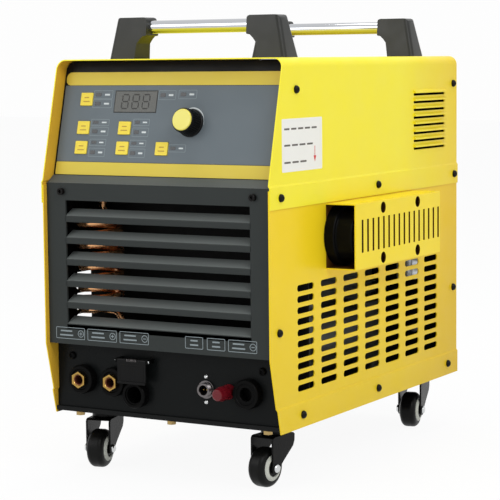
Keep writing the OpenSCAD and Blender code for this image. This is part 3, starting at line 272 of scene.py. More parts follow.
@dataclass(frozen=True)
class Finish:
    """One finish, with its gloss, grain and small changes of shade from place to place.

    A painted shade darkens it towards the floor, and a darker rear colour, also painted shade, takes
    over towards the back.
    """

    name: str
    colour: Triple
    roughness: float
    metallic: float = 0.0
    coat: float = 0.0
    coat_roughness: float = 0.12
    grain: float = 0.8
    grain_depth: float = 0.12
    mottle: float = 0.05
    gloss_spread: float = 0.06
    stretch: Triple = (1.0, 1.0, 1.0)
    specular: float = 0.5
    # Painted shade: the share darkened near the floor, and the darker colour taken towards the back.
    painted_floor_shade: float = 0.0
    rear: Triple | None = None

    def material(self) -> bpy.types.Material:
        """Returns the Blender material, made once.

        Returns:
            The material.
        """
        found = bpy.data.materials.get(self.name)
        if found:
            return found
        made = bpy.data.materials.new(self.name)
        made.use_nodes = True
        nodes = Nodes(made.node_tree)
        place = nodes.add("ShaderNodeTexCoord").outputs["Object"]
        cloud = self._noise(nodes, place, 11.0, 3.0)
        smear = self._noise(nodes, place, 38.0, 2.0, self.stretch)
        fine = self._noise(nodes, place, 1 / (self.grain * MM), 2.0, self.stretch)
        darker, lighter = ((*(min(1.0, c * gain) for c in self.colour), 1)
                           for gain in (1 - self.mottle, 1 + self.mottle))
        shade = nodes.add("ShaderNodeMix", {0: cloud, 6: darker, 7: lighter}, data_type="RGBA")
        gloss = max(0.02, self.roughness - self.gloss_spread), self.roughness + self.gloss_spread
        nodes.feed(nodes.tree.nodes["Principled BSDF"], {
            "Metallic": self.metallic, "Coat Weight": self.coat,
            "Coat Roughness": self.coat_roughness, "Specular IOR Level": self.specular,
            "Base Color": self._painted_shade(nodes, place, shade.outputs[2]),
            "Roughness": self._ranged(nodes, smear, (0.3, 0.7), gloss),
            "Normal": nodes.add("ShaderNodeBump", {
                "Strength": self.grain_depth, "Distance": self.grain * MM * 0.4, "Height": fine})})
        return made

    def _painted_shade(self, nodes: Nodes, place: bpy.types.NodeSocket,
               colour: bpy.types.NodeSocket) -> bpy.types.NodeSocket:
        """Paints shade into a colour: turns it towards its darker rear colour, and darkens it a
        little towards the floor.

        Args:
            nodes: the material's nodes.
            place: the socket with the place on the object.
            colour: the colour to change.

        Returns:
            The colour's socket, or the same one where the finish has neither.
        """
        if not (self.painted_floor_shade or self.rear):
            return colour
        # Painted shade: a darker colour towards the back, and darker still near the floor.
        parts = nodes.add("ShaderNodeSeparateXYZ", {0: place}).outputs
        back = nodes.add("ShaderNodeMix", {
            0: self._ranged(nodes, parts["Y"], (0.07, 0.25), (0, 1)), 6: colour,
            7: (*(self.rear or self.colour), 1)}, data_type="RGBA")
        return nodes.add("ShaderNodeVectorMath", {
            0: back.outputs[2],
            "Scale": self._ranged(nodes, parts["Z"], (0.06, 0.34), (1 - self.painted_floor_shade, 1))},
            operation="SCALE").outputs[0]

    @staticmethod
    def _ranged(nodes: Nodes, value: bpy.types.Node | bpy.types.NodeSocket, source: Point,
                target: Point) -> bpy.types.Node:
        """Maps a value from one range to another and clamps it.

        Args:
            nodes: the material's nodes.
            value: where the value comes from.
            source: the range that it comes from.
            target: the range that it goes to.

        Returns:
            The node that maps it.
        """
        return nodes.add("ShaderNodeMapRange", {
            "Value": value, "From Min": source[0], "From Max": source[1],
            "To Min": target[0], "To Max": target[1]})

    @staticmethod
    def _noise(nodes: Nodes, place: bpy.types.NodeSocket, scale: float, detail: float,
               stretch: Triple = (1.0, 1.0, 1.0)) -> bpy.types.Node:
        """Adds a noise that follows the object.

        Args:
            nodes: the material's nodes.
            place: the socket with the place on the object.
            scale: how fine the noise is.
            detail: how many finer layers it has.
            stretch: how much finer it is along each axis.

        Returns:
            The noise node.
        """
        mapping = nodes.add("ShaderNodeMapping", {"Vector": place, "Scale": stretch})
        return nodes.add("ShaderNodeTexNoise", {"Vector": mapping, "Scale": scale, "Detail": detail})


# Painted shade in the yellows: each turns to a darker colour towards the back, and the side yellow
# also darkens towards the floor.
YELLOW = Finish("yellow_powder_coat", plain(246, 212, 30), 0.38, coat=0.03, grain=1.1,
                grain_depth=0.10, mottle=0.03, specular=0.2, painted_floor_shade=0.14, rear=plain(232, 192, 16))
LEMON = Finish("lemon_powder_coat", plain(247, 233, 44), 0.38, coat=0.05, grain=1.1,
               grain_depth=0.10, mottle=0.025, specular=0.25, rear=plain(238, 207, 26))
AMBER = Finish("hood_powder_coat", plain(246, 219, 38), 0.38, coat=0.04, grain=1.1,
               grain_depth=0.10, mottle=0.03, specular=0.22, rear=plain(240, 206, 26))
# Painted shade: the yellow coat darkened, for inner faces that lie in shade.
PAINTED_SHADE_YELLOW = Finish("shaded_powder_coat", plain(218, 172, 52), 0.42, grain=1.1, specular=0.1)
# Painted shade: brown for the hood's yellow inside and the panel face behind it, as they look in deep
# shade.
PAINTED_SHADE_BROWN = Finish("hood_inside", plain(92, 58, 20), 0.60, grain=1.0, mottle=0.15, specular=0.06)
CHARCOAL = Finish("charcoal_powder_coat", plain(20, 21, 21), 0.42, grain=0.9, mottle=0.08,
                  specular=0.1)
CONNECTOR_BLACK = Finish("connector_panel_coat", plain(17, 19, 19), 0.32, grain=1.0, mottle=0.12,
                         specular=0.08)
LOUVRE = Finish("louvre_moulding", plain(46, 50, 49), 0.40, grain=0.5, grain_depth=0.18,
                mottle=0.06, specular=0.16)
# Painted light: lighter copies of the moulding's grey for its upward faces, where light from above
# falls.
BLADE_TOP_PAINTED_LIGHT = Finish("blade_upper_faces", plain(106, 111, 109), 0.42, grain=0.5, grain_depth=0.18,
                   mottle=0.06, specular=0.2)
LEDGE_PAINTED_LIGHT = Finish("louvre_ledge", plain(82, 87, 85), 0.42, grain=0.5, grain_depth=0.18,
               mottle=0.06, specular=0.2)
SOCKET = Finish("socket_plastic", plain(9, 9, 9), 0.34, grain=0.5, mottle=0.12, specular=0.05)
GUNMETAL = Finish("dark_plating", plain(112, 108, 108), 0.30, metallic=1.0, grain=0.5, mottle=0.08)
FITTING = Finish("polished_fitting", plain(228, 233, 236), 0.16, metallic=0.5, grain_depth=0.05)
# Painted shade: black for the side panels' yellow inner faces behind the bay and for the inner shelf,
# which lie in shade.
PAINTED_SHADE_BLACK = Finish("inside_black", plain(25, 25, 25), 0.75, grain=1.0, mottle=0.10, specular=0.06)
SLATE = Finish("slate_film", plain(102, 111, 116), 0.52, grain=0.3, grain_depth=0.08,
               mottle=0.025, specular=0.2)
BAND = Finish("amber_film", plain(213, 191, 74), 0.50, grain=0.3, grain_depth=0.08, mottle=0.03,
              specular=0.25)
WINDOW = Finish("smoked_window", plain(86, 87, 83), 0.24, coat=0.05, grain=2.0, grain_depth=0.02,
                specular=0.2)
KEY = Finish("key_moulding", plain(236, 212, 70), 0.45, grain=0.4, grain_depth=0.10, mottle=0.04,
             specular=0.3)
PLASTIC = Finish("black_moulding", plain(15, 15, 15), 0.30, grain=0.5, grain_depth=0.15,
                 mottle=0.10, specular=0.12)
SATIN = Finish("satin_bracket", plain(38, 39, 38), 0.34, grain=0.6, grain_depth=0.16,
               mottle=0.07, specular=0.3)
FLAP = Finish("flap_moulding", plain(20, 20, 20), 0.34, grain=0.5, mottle=0.08, specular=0.08)
CAP_YELLOW = Finish("pale_cap_plastic", plain(224, 213, 90), 0.35, coat=0.15, grain=0.6,
                    mottle=0.04)
RED = Finish("red_moulding", plain(98, 11, 22), 0.26, coat=0.12, grain_depth=0.06, specular=0.3)
LEVER = Finish("lever_moulding", plain(205, 205, 200), 0.40, grain=0.5, mottle=0.04)
BRASS = Finish("turned_brass", plain(178, 144, 78), 0.27, metallic=1.0, grain=0.6,
               grain_depth=0.10, mottle=0.10, stretch=(1, 6, 1))
BORE = Finish("socket_bore", plain(104, 54, 36), 0.45, metallic=0.6, grain=0.5, mottle=0.25)
ZINC = Finish("yellow_zinc", plain(178, 152, 100), 0.34, metallic=0.9, grain=0.7, mottle=0.14)
STEEL = Finish("plated_steel", plain(206, 208, 208), 0.24, metallic=1.0, grain=0.5,
               grain_depth=0.08, mottle=0.06, stretch=(1, 1, 8))
FORK = Finish("fork_enamel", plain(12, 12, 12), 0.26, grain=1.0, mottle=0.10, specular=0.1)
RING = Finish("wheel_nylon", plain(196, 198, 188), 0.42, grain=0.6, specular=0.3)
TYRE = Finish("wheel_rubber", plain(15, 15, 14), 0.36, grain=0.7, grain_depth=0.20, mottle=0.12,
              specular=0.12)
CHROME = Finish("chrome_tube", plain(192, 194, 198), 0.05, metallic=1.0, grain=6.0,
                grain_depth=0.02, mottle=0.01, gloss_spread=0.02)
ALUMINIUM = Finish("sand_cast_aluminium", plain(116, 119, 117), 0.48, metallic=0.8, grain=0.9,
                   grain_depth=0.25, mottle=0.08)
COPPER = Finish("copper_tube", plain(255, 184, 130), 0.24, metallic=0.85, grain=1.2,
                grain_depth=0.06, mottle=0.16)
CORE = Finish("laminated_core", plain(96, 62, 44), 0.50, grain=0.5, grain_depth=0.4,
              mottle=0.15, stretch=(1, 12, 1))
BOARD = Finish("green_board", plain(28, 92, 54), 0.36, coat=0.3, grain=2.0, mottle=0.12)
SCREW = Finish("black_oxide", plain(13, 11, 10), 0.30, grain=0.4, mottle=0.12, specular=0.14)
PALE_INK = Finish("pale_ink", plain(206, 212, 212), 0.55, grain=0.2, mottle=0.03, specular=0.2)
GREY_INK = Finish("grey_ink", plain(134, 144, 147), 0.55, grain=0.2, mottle=0.04, specular=0.2)
KEY_INK = Finish("key_ink", plain(176, 140, 44), 0.55, grain=0.2)
DARK_INK = Finish("dark_ink", plain(62, 62, 60), 0.55, grain=0.2, mottle=0.06, specular=0.2)
SOFT_INK = Finish("soft_ink", plain(104, 100, 94), 0.5, grain=1.0, mottle=0.04, specular=0.1)
RED_INK = Finish("red_ink", plain(206, 44, 40), 0.5, grain=1.0, mottle=0.04, specular=0.1)
LAMP = Finish("unlit_lamp", plain(42, 43, 45), 0.20, coat=0.1, grain=1.0, specular=0.3)
STICKER = Finish("white_film", plain(238, 237, 230), 0.40, grain=0.3, grain_depth=0.05,
                 mottle=0.02, specular=0.3)


# ---- Outlines -----------------------------------------------------------------------


def polar(radius: float, degrees: float) -> Point:
    """Returns a point from its distance and its angle."""
    angle = math.radians(degrees)
    return radius * math.cos(angle), radius * math.sin(angle)


def rounded(width: float, height: float, radius: float, steps: int = 5) -> list[Point]:
    """Returns a rounded rectangle about the origin, anticlockwise.

    Args:
        width: its size along X.
        height: its size along Y.
        radius: its corners' radius.
        steps: points in a corner, less one.

    Returns:
        The outline.
    """
    points = []
    for turn, (sx, sy) in enumerate(((1, 1), (-1, 1), (-1, -1), (1, -1))):
        for i in range(steps + 1):
            x, y = polar(radius, 90 * turn + 90 * i / steps)
            points.append((sx * (width / 2 - radius) + x, sy * (height / 2 - radius) + y))
    return points


def sharp(width: float, height: float) -> list[Point]:
    """Returns a rectangle about the origin, with hardly rounded corners."""
    return rounded(width, height, 0.01, 1)


def polygon(sides: int, radius: float) -> list[Point]:
    """Returns a regular polygon with its radius over the corners."""
    return [polar(radius, 360 * i / sides) for i in range(sides)]


def spread_hexagon(count: int, flats: float) -> list[Point]:
    """Returns a hexagon spread over a number of points.

    Args:
        count: the number of points.
        flats: half the width across flats.

    Returns:
        The outline.
    """
    loop = []
    for i in range(count):
        angle = 360 * i / count
        loop.append(polar(flats / math.cos(math.radians((angle + 30) % 60 - 30)), angle))
    return loop


def disc(radius: float, low: float, high: float) -> list[Point]:
    """Returns the profile of a plain disc between two heights."""
    return [(0, low), (radius, low), (radius, high), (0, high)]


def mirrored(profile: list[Point]) -> list[Point]:
    """Returns a profile that goes on with its own mirror image below the origin."""
    return profile + [(radius, -height) for radius, height in profile[::-1]]


# ---- Mesh making --------------------------------------------------------------------


def ease_edges(work: bmesh.types.BMesh, width: float, steps: int) -> None:
    """Rounds the sharp edges.

    Args:
        work: the mesh.
        width: the rounding, in the mesh's own unit.
        steps: its segments.
    """
    least = math.radians(EASE_ABOVE)
    edges = [e for e in work.edges if e.is_manifold and e.calc_face_angle(0.0) > least]
    bmesh.ops.bevel(work, geom=edges, offset=width, segments=steps, profile=0.5,
                    affect="EDGES", clamp_overlap=True)


def smooth_by_angle(mesh: bpy.types.Mesh) -> None:
    """Shades a mesh smooth, with its sharp edges kept.

    Args:
        mesh: the mesh.
    """
    work = bmesh.new()
    work.from_mesh(mesh)
    for face in work.faces:
        face.smooth = True
    for edge in work.edges:
        edge.smooth = edge.is_manifold and edge.calc_face_angle(0.0) < math.radians(SMOOTH_BELOW)
    work.to_mesh(mesh)
    work.free()


def placed(name: str, mesh: bpy.types.ID) -> bpy.types.Object:
    """Returns a new object of the scene."""
    piece = bpy.data.objects.new(name, mesh)
    bpy.context.scene.collection.objects.link(piece)
    return piece


def object_of(work: bmesh.types.BMesh, name: str, finish: Finish | None) -> bpy.types.Object:
    """Ends the work on a mesh and makes it an object.

    Args:
        work: the mesh in work.
        name: the object's name.
        finish: its finish.

    Returns:
        The object.
    """
    mesh = bpy.data.meshes.new(name)
    work.to_mesh(mesh)
    work.free()
    if mesh.polygons:
        smooth_by_angle(mesh)
    if finish:
        mesh.materials.append(finish.material())
    return placed(name, mesh)


def applied(piece: bpy.types.Object, modifier: bpy.types.Modifier) -> bpy.types.Mesh:
    """Runs a piece's modifier and takes it off.

    Args:
        piece: the piece.
        modifier: its modifier.

    Returns:
        The result as a plain mesh.
    """
    graph = bpy.context.evaluated_depsgraph_get()
    mesh = bpy.data.meshes.new_from_object(piece.evaluated_get(graph))
    piece.modifiers.remove(modifier)
    return mesh


def settle(piece: bpy.types.Object, slot: str, *stands_for: str, body: str = "case") -> None:
    """Fixes a piece to its body and reports it, with the shading of its broad faces kept flat.

    Args:
        piece: the piece.
        slot: the material slot that its finish belongs to; not used.
        stands_for: the nodes that it takes the place of.
        body: the body that it moves with.
    """
    weigh = piece.modifiers.new("weigh", "WEIGHTED_NORMAL")
    weigh.keep_sharp = True
    piece.data = applied(piece, weigh)
    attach(piece, body)
    if stands_for:
        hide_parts(*stands_for)
    LOG.info("%s on %s: %d faces", piece.name, body, len(piece.data.polygons))


def paint_faces(piece: bpy.types.Object, finish: Finish,
                chosen: Callable[[Vector, Vector], bool]) -> None:
    """Gives some of a piece's faces another finish.

    Args:
        piece: the piece.
        finish: the other finish.
        chosen: tells from a face's middle and its normal whether it gets that finish.
    """
    slot = len(piece.data.materials)
    piece.data.materials.append(finish.material())
    for face in piece.data.polygons:
        if chosen(face.center, face.normal):
            face.material_index = slot


class Draft:
    """Gathers solids, drawn in millimetres, into one mesh."""

    def __init__(self) -> None:
        """Starts empty."""
        self.work = bmesh.new()

    def _add(self, part: bmesh.types.BMesh, place: Matrix, rounding: float = 0.0) -> Draft:
        """Eases a part's edges, moves it to its place and adds it.

        Args:
            part: the part.
            place: its place.
            rounding: the rounding of its edges.

        Returns:
            The draft, for the next call.
        """
        bmesh.ops.recalc_face_normals(part, faces=part.faces)
        if rounding:
            ease_edges(part, rounding, 2)
            bmesh.ops.recalc_face_normals(part, faces=part.faces)
        part.transform(place @ Matrix.Scale(MM, 4))
        mesh = bpy.data.meshes.new("part")
        part.to_mesh(mesh)
        part.free()
        self.work.from_mesh(mesh)
        bpy.data.meshes.remove(mesh)
        return self

    def prism(self, place: Matrix, outline: Sequence[Point], depth: float,
              rounding: float = 0.0) -> Draft:
        """Adds an outline drawn out along local Z.

        Args:
            place: its place.
            outline: its outline in local X and Y.
            depth: how far it goes.
            rounding: the rounding of its edges.

        Returns:
            The draft, for the next call.
        """
        part = bmesh.new()
        face = part.faces.new([part.verts.new((x, y, 0)) for x, y in outline])
        grown = bmesh.ops.extrude_face_region(part, geom=[face])["geom"]
        top = [v for v in grown if isinstance(v, bmesh.types.BMVert)]
        bmesh.ops.translate(part, verts=top, vec=(0, 0, depth))
        return self._add(part, place, rounding)

    def turned(self, place: Matrix, profile: Sequence[Point], sides: int = 48,
               ring: bool = False) -> Draft:
        """Adds a turned solid.

        Args:
            place: its place, with the axis along local Z.
            profile: its points as radius and height.
            sides: its sides.
            ring: whether the profile closes on itself.

        Returns:
            The draft, for the next call.
        """
        part = bmesh.new()
        rows = [[part.verts.new((x, y, height))
                 for x, y in (polygon(sides, radius) if radius else [(0, 0)])]
                for radius, height in profile]
        for low, high in zip(rows, rows[1:] + rows[:1] * ring):
            for i in range(sides):
                j = (i + 1) % sides
                corners = dict.fromkeys((low[i % len(low)], low[j % len(low)],
                                         high[j % len(high)], high[i % len(high)]))
                if len(corners) > 2:
                    part.faces.new(list(corners))
        return self._add(part, place)

    def frame(self, place: Matrix, outer: Sequence[Point], inner: Sequence[Point],
              depth: float, rounding: float = 0.0) -> Draft:
        """Adds a flat frame between two outlines of the same length.

        Args:
            place: its place.
            outer: the outer outline.
            inner: the inner outline.
            depth: its thickness.
            rounding: the rounding of its edges.

        Returns:
            The draft, for the next call.
        """
        part = bmesh.new()
        loops = [[part.verts.new((x, y, z)) for x, y in line]
                 for line, z in ((outer, 0), (outer, depth), (inner, depth), (inner, 0))]
        count = len(outer)
        for near, far in zip(loops, loops[1:] + loops[:1]):
            for i in range(count):
                j = (i + 1) % count
                part.faces.new((near[i], near[j], far[j], far[i]))
        return self._add(part, place, rounding)

    def points(self, places: Iterable[Matrix]) -> Draft:
        """Adds loose points with a turn each, for a pattern of repeated pieces.

        Args:
            places: the points' places.

        Returns:
            The draft, for the next call.
        """
        layers = [self.work.verts.layers.float.new("turn_" + axis) for axis in "xyz"]
        for place in places:
            vert = self.work.verts.new(place.to_translation())
            for layer, angle in zip(layers, place.to_euler("XYZ")):
                vert[layer] = angle
        return self

    def made(self, name: str, finish: Finish | None = None) -> bpy.types.Object:
        """Returns the draft as an object."""
        return object_of(self.work, name, finish)

    def settled(self, name: str, finish: Finish, slot: str, *stands_for: str,
                body: str = "case") -> None:
        """Makes the draft a piece of the unit.

        Args:
            name: the piece's name.
            finish: its finish.
            slot: the material slot that its finish belongs to.
            stands_for: the nodes that it takes the place of.
            body: the body that it moves with.
        """
        settle(self.made(name, finish), slot, *stands_for, body=body)


# ---- Patterns -----------------------------------------------------------------------


class Pattern(Nodes):
    """A tree of geometry nodes with named sizes."""

    def __init__(self, name: str, sizes: dict[str, str]) -> None:
        """Starts a tree.

        Args:
            name: its name.
            sizes: each input's name, with its kind.
        """
        super().__init__(bpy.data.node_groups.new(name, "GeometryNodeTree"))
        face = self.tree.interface
        for label, kind in {"Geometry": "Geometry", **sizes, "Finish": "Material"}.items():
            face.new_socket(label, in_out="INPUT", socket_type="NodeSocket" + kind)
        face.new_socket("Geometry", in_out="OUTPUT", socket_type="NodeSocketGeometry")
        self.given = self.add("NodeGroupInput")

    def size(self, label: str) -> bpy.types.NodeSocket:
        """Returns a named input."""
        return self.given.outputs[label]

    def piece(self) -> bpy.types.NodeSocket:
        """Returns the shape of the object that is to be repeated."""
        return self.add("GeometryNodeObjectInfo", {"Object": self.size("Piece")},
                        transform_space="ORIGINAL").outputs["Geometry"]

    def close(self, shape: bpy.types.Node) -> Pattern:
        """Ends the tree with real geometry in its finish.

        Args:
            shape: the node whose geometry it ends with.

        Returns:
            The pattern.
        """
        real = self.add("GeometryNodeRealizeInstances", {"Geometry": shape})
        painted = self.add("GeometryNodeSetMaterial", {
            "Geometry": real, "Material": self.size("Finish")})
        self.add("NodeGroupOutput", {"Geometry": painted})
        return self

    def grown(self, start: bpy.types.Object, name: str, finish: Finish,
              sizes: dict[str, Any]) -> bpy.types.Object:
        """Runs the tree on an object and keeps the result as a plain mesh.

        Args:
            start: the object that the tree starts from, which is removed.
            name: the new piece's name.
            finish: its finish.
            sizes: the other inputs' values by name.

        Returns:
            The piece.
        """
        modifier = start.modifiers.new("pattern", "NODES")
        modifier.node_group = self.tree
        values = {**sizes, "Finish": finish.material()}
        for item in self.tree.interface.items_tree:
            if item.in_out == "INPUT" and item.name in values:
                modifier[item.identifier] = values[item.name]
        mesh = applied(start, modifier)
        mesh.name = name
        bpy.data.objects.remove(start)
        smooth_by_angle(mesh)
        return placed(name, mesh)


def scatter_pattern() -> Pattern:
    """Returns the pattern that sets one piece on each point, turned as the point says.

    Returns:
        The pattern.
    """
    made = Pattern("pieces_on_points", {"Piece": "Object"})
    turn = {axis: made.add("GeometryNodeInputNamedAttribute", {"Name": "turn_" + axis.lower()},
                           data_type="FLOAT").outputs["Attribute"] for axis in "XYZ"}
    return made.close(made.add("GeometryNodeInstanceOnPoints", {
        "Points": made.add("GeometryNodeMeshToPoints", {"Mesh": made.given}),
        "Instance": made.piece(), "Rotation": made.add("ShaderNodeCombineXYZ", turn)}))


def ring_pattern() -> Pattern:
    """Returns the pattern that sets ribs round a circle about Z, and keeps the start's shape.

    Returns:
        The pattern.
    """
    made = Pattern("ribs_on_a_circle", {
        "Count": "Int", "Radius": "Float", "Rib Depth": "Float", "Rib Width": "Float",
        "Rib Length": "Float"})
    rib = made.add("ShaderNodeCombineXYZ", {
        "X": made.size("Rib Depth"), "Y": made.size("Rib Width"), "Z": made.size("Rib Length")})
    outward = made.add("FunctionNodeAlignEulerToVector", {
        "Vector": made.add("GeometryNodeInputPosition")}, axis="X", pivot_axis="Z")
    ribs = made.add("GeometryNodeInstanceOnPoints", {
        "Points": made.add("GeometryNodeMeshCircle", {
            "Vertices": made.size("Count"), "Radius": made.size("Radius")}),
        "Instance": made.add("GeometryNodeMeshCube", {"Size": rib}), "Rotation": outward})
    return made.close(made.add("GeometryNodeJoinGeometry", {"Geometry": [ribs, made.given]}))


def tube_pattern() -> Pattern:
    """Returns the pattern that draws a round tube along a chain of points.

    Returns:
        The pattern.
    """
    made = Pattern("tube_on_a_route", {"Tube Radius": "Float", "Sides": "Int"})
    section = made.add("GeometryNodeCurvePrimitiveCircle", {
        "Radius": made.size("Tube Radius"), "Resolution": made.size("Sides")})
    return made.close(made.add("GeometryNodeCurveToMesh", {
        "Curve": made.add("GeometryNodeMeshToCurve", {"Mesh": made.given}),
        "Profile Curve": section, "Fill Caps": True}))


def rows_pattern() -> Pattern:
    """Returns the pattern that repeats a piece upward at an even pitch.

    Returns:
        The pattern.
    """
    made = Pattern("pieces_in_a_row", {"Piece": "Object", "Count": "Int", "Pitch": "Float"})
    step = made.add("ShaderNodeCombineXYZ", {"Z": made.size("Pitch")})
    row = made.add("GeometryNodeInstanceOnPoints", {
        "Points": made.add("GeometryNodeMeshLine", {"Count": made.size("Count"), "Offset": step}),
        "Instance": made.piece()})
    return made.close(made.add("GeometryNodeJoinGeometry", {"Geometry": [row, made.given]}))


@dataclass(frozen=True)
class Ribs:
    """Upright ribs round a turned core, in millimetres.

    Lean and draw are the shares of their distance from the axis that their feet and their heads
    keep.
    """

    count: int
    radius: float
    width: float
    depth: float
    length: float
    middle: float
    lean: float = 1.0
    draw: float = 1.0


@dataclass
class PatternShelf:
    """The patterns, each made once."""

    scatter: Pattern = field(default_factory=scatter_pattern)
    ring: Pattern = field(default_factory=ring_pattern)
    tube: Pattern = field(default_factory=tube_pattern)
    rows: Pattern = field(default_factory=rows_pattern)

    def on_points(self, name: str, part: Draft, places: Sequence[Matrix],
                  finish: Finish) -> bpy.types.Object:
        """Sets copies of one drafted part at many places.

        Args:
            name: the piece's name.
            part: the part, drawn about the origin.
            places: where the copies go.
            finish: their finish.

        Returns:
            The piece.
        """
        master = part.made(name + "_master")
        start = Draft().points(places).made(name + "_points")
        piece = self.scatter.grown(start, name, finish, {"Piece": master})
        bpy.data.objects.remove(master)
        return piece

    def along(self, name: str, route: Sequence[Vector], radius: float, finish: Finish,
              sides: int) -> bpy.types.Object:
        """Draws a tube along a route in metres.

        Args:
            name: the piece's name.
            route: its points.
            radius: the tube's radius in millimetres.
            finish: its finish.
            sides: the tube's sides.

        Returns:
            The piece.
        """
        mesh = bpy.data.meshes.new(name + "_route")
        mesh.from_pydata(route, [(i, i + 1) for i in range(len(route) - 1)], [])
        return self.tube.grown(placed(name + "_route", mesh), name, finish,
                               {"Tube Radius": radius * MM, "Sides": sides})

    def ribbed(self, name: str, core: Draft, ribs: Ribs, finish: Finish) -> bpy.types.Object:
        """Sets ribs round a core that stands on the origin.

        Args:
            name: the piece's name.
            core: the core.
            ribs: its ribs.
            finish: their finish.

        Returns:
            The piece.
        """
        piece = self.ring.grown(core.made(name + "_core"), name, finish, {
            "Count": ribs.count, "Radius": ribs.radius * MM, "Rib Width": ribs.width * MM,
            "Rib Depth": ribs.depth * MM, "Rib Length": ribs.length * MM})
        box_corners = 8
        for vert in piece.data.vertices[-box_corners * ribs.count:]:
            share = ribs.draw if vert.co.z > 0 else ribs.lean
            vert.co = (vert.co.x * share, vert.co.y * share, vert.co.z + ribs.middle * MM)
        return piece


@dataclass
class Bench:
    """What every sub-assembly is made with."""

    frame: dict[str, Any]
    case: CaseFrame
    patterns: PatternShelf = field(default_factory=PatternShelf)

    def joint(self, name: str) -> Matrix:
        """Returns a joint's place, with local Z along its axis.

        Args:
            name: the joint's name.

        Returns:
            The matrix in the row frame.
        """
        found = next(j for j in self.frame["joints"] if j["name"] == name)
        turn = Vector(found["axis"]).to_track_quat("Z", "Y").to_matrix().to_4x4()
        return Matrix.Translation(Vector(found["pos_m"])) @ turn

    def softened(self, node: str, finish: Finish, rounding: float, steps: int = 2,
                 name: str = "", splits: Sequence[tuple[Vector, Vector]] = ()) -> bpy.types.Object:
        """Makes a node's shape again with its sharp edges eased, and lets it stand for the node.

        Args:
            node: the node's name.
            finish: its finish.
            rounding: the radius of the eased edges in millimetres.
            steps: the rounding's segments.
            name: the new piece's name.
            splits: planes, each as a point and a normal, that part the flat faces there.

        Returns:
            The piece.
        """
        source = self.frame["nodes"][node]
        work = bmesh.new()
        work.from_mesh(source.data)
        bmesh.ops.remove_doubles(work, verts=work.verts, dist=2e-6)
        bmesh.ops.dissolve_limit(work, angle_limit=math.radians(0.5), verts=work.verts,
                                 edges=work.edges, delimit={"NORMAL"})
        for point, normal in splits:
            bmesh.ops.bisect_plane(work, geom=work.verts[:] + work.edges[:] + work.faces[:],
                                   plane_co=point, plane_no=normal)
        ease_edges(work, rounding * MM, steps)
        piece = object_of(work, name or node + "_eased", finish)
        row = next(r for r in self.frame["record"]["subparts"] if r["node"] == node)
        settle(piece, row["material_slot"], node, body=source["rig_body"])
        return piece

    def dress(self, finish: Finish, node: str) -> None:
        """Gives a node whose shape stays a finish of its own.

        Args:
            finish: the finish.
            node: the node.
        """
        piece = self.frame["nodes"][node]
        if not piece.material_slots:
            piece.data.materials.append(None)
        for held in piece.material_slots:
            held.material = finish.material()
        LOG.info("%s: %s", node, finish.name)

    def repeated(self, name: str, part: Draft, places: Sequence[Matrix], finish: Finish,
                 slot: str, *stands_for: str) -> None:
        """Settles copies of one drafted part on the case.

        Args:
            name: the piece's name.
            part: the part, drawn about the origin.
            places: where the copies go.
            finish: their finish.
            slot: the material slot that their finish belongs to.
            stands_for: the nodes that they take the place of.
        """
        settle(self.patterns.on_points(name, part, places, finish), slot, *stands_for)


@dataclass
class Assembly:
    """A sub-assembly, which is made at the bench."""

    bench: Bench

    @property
    def case(self) -> CaseFrame:
        """Returns the case's axes."""
        return self.bench.case

    def build(self) -> None:
        """Builds every piece."""
        raise NotImplementedError


# ---- Case ---------------------------------------------------------------------------


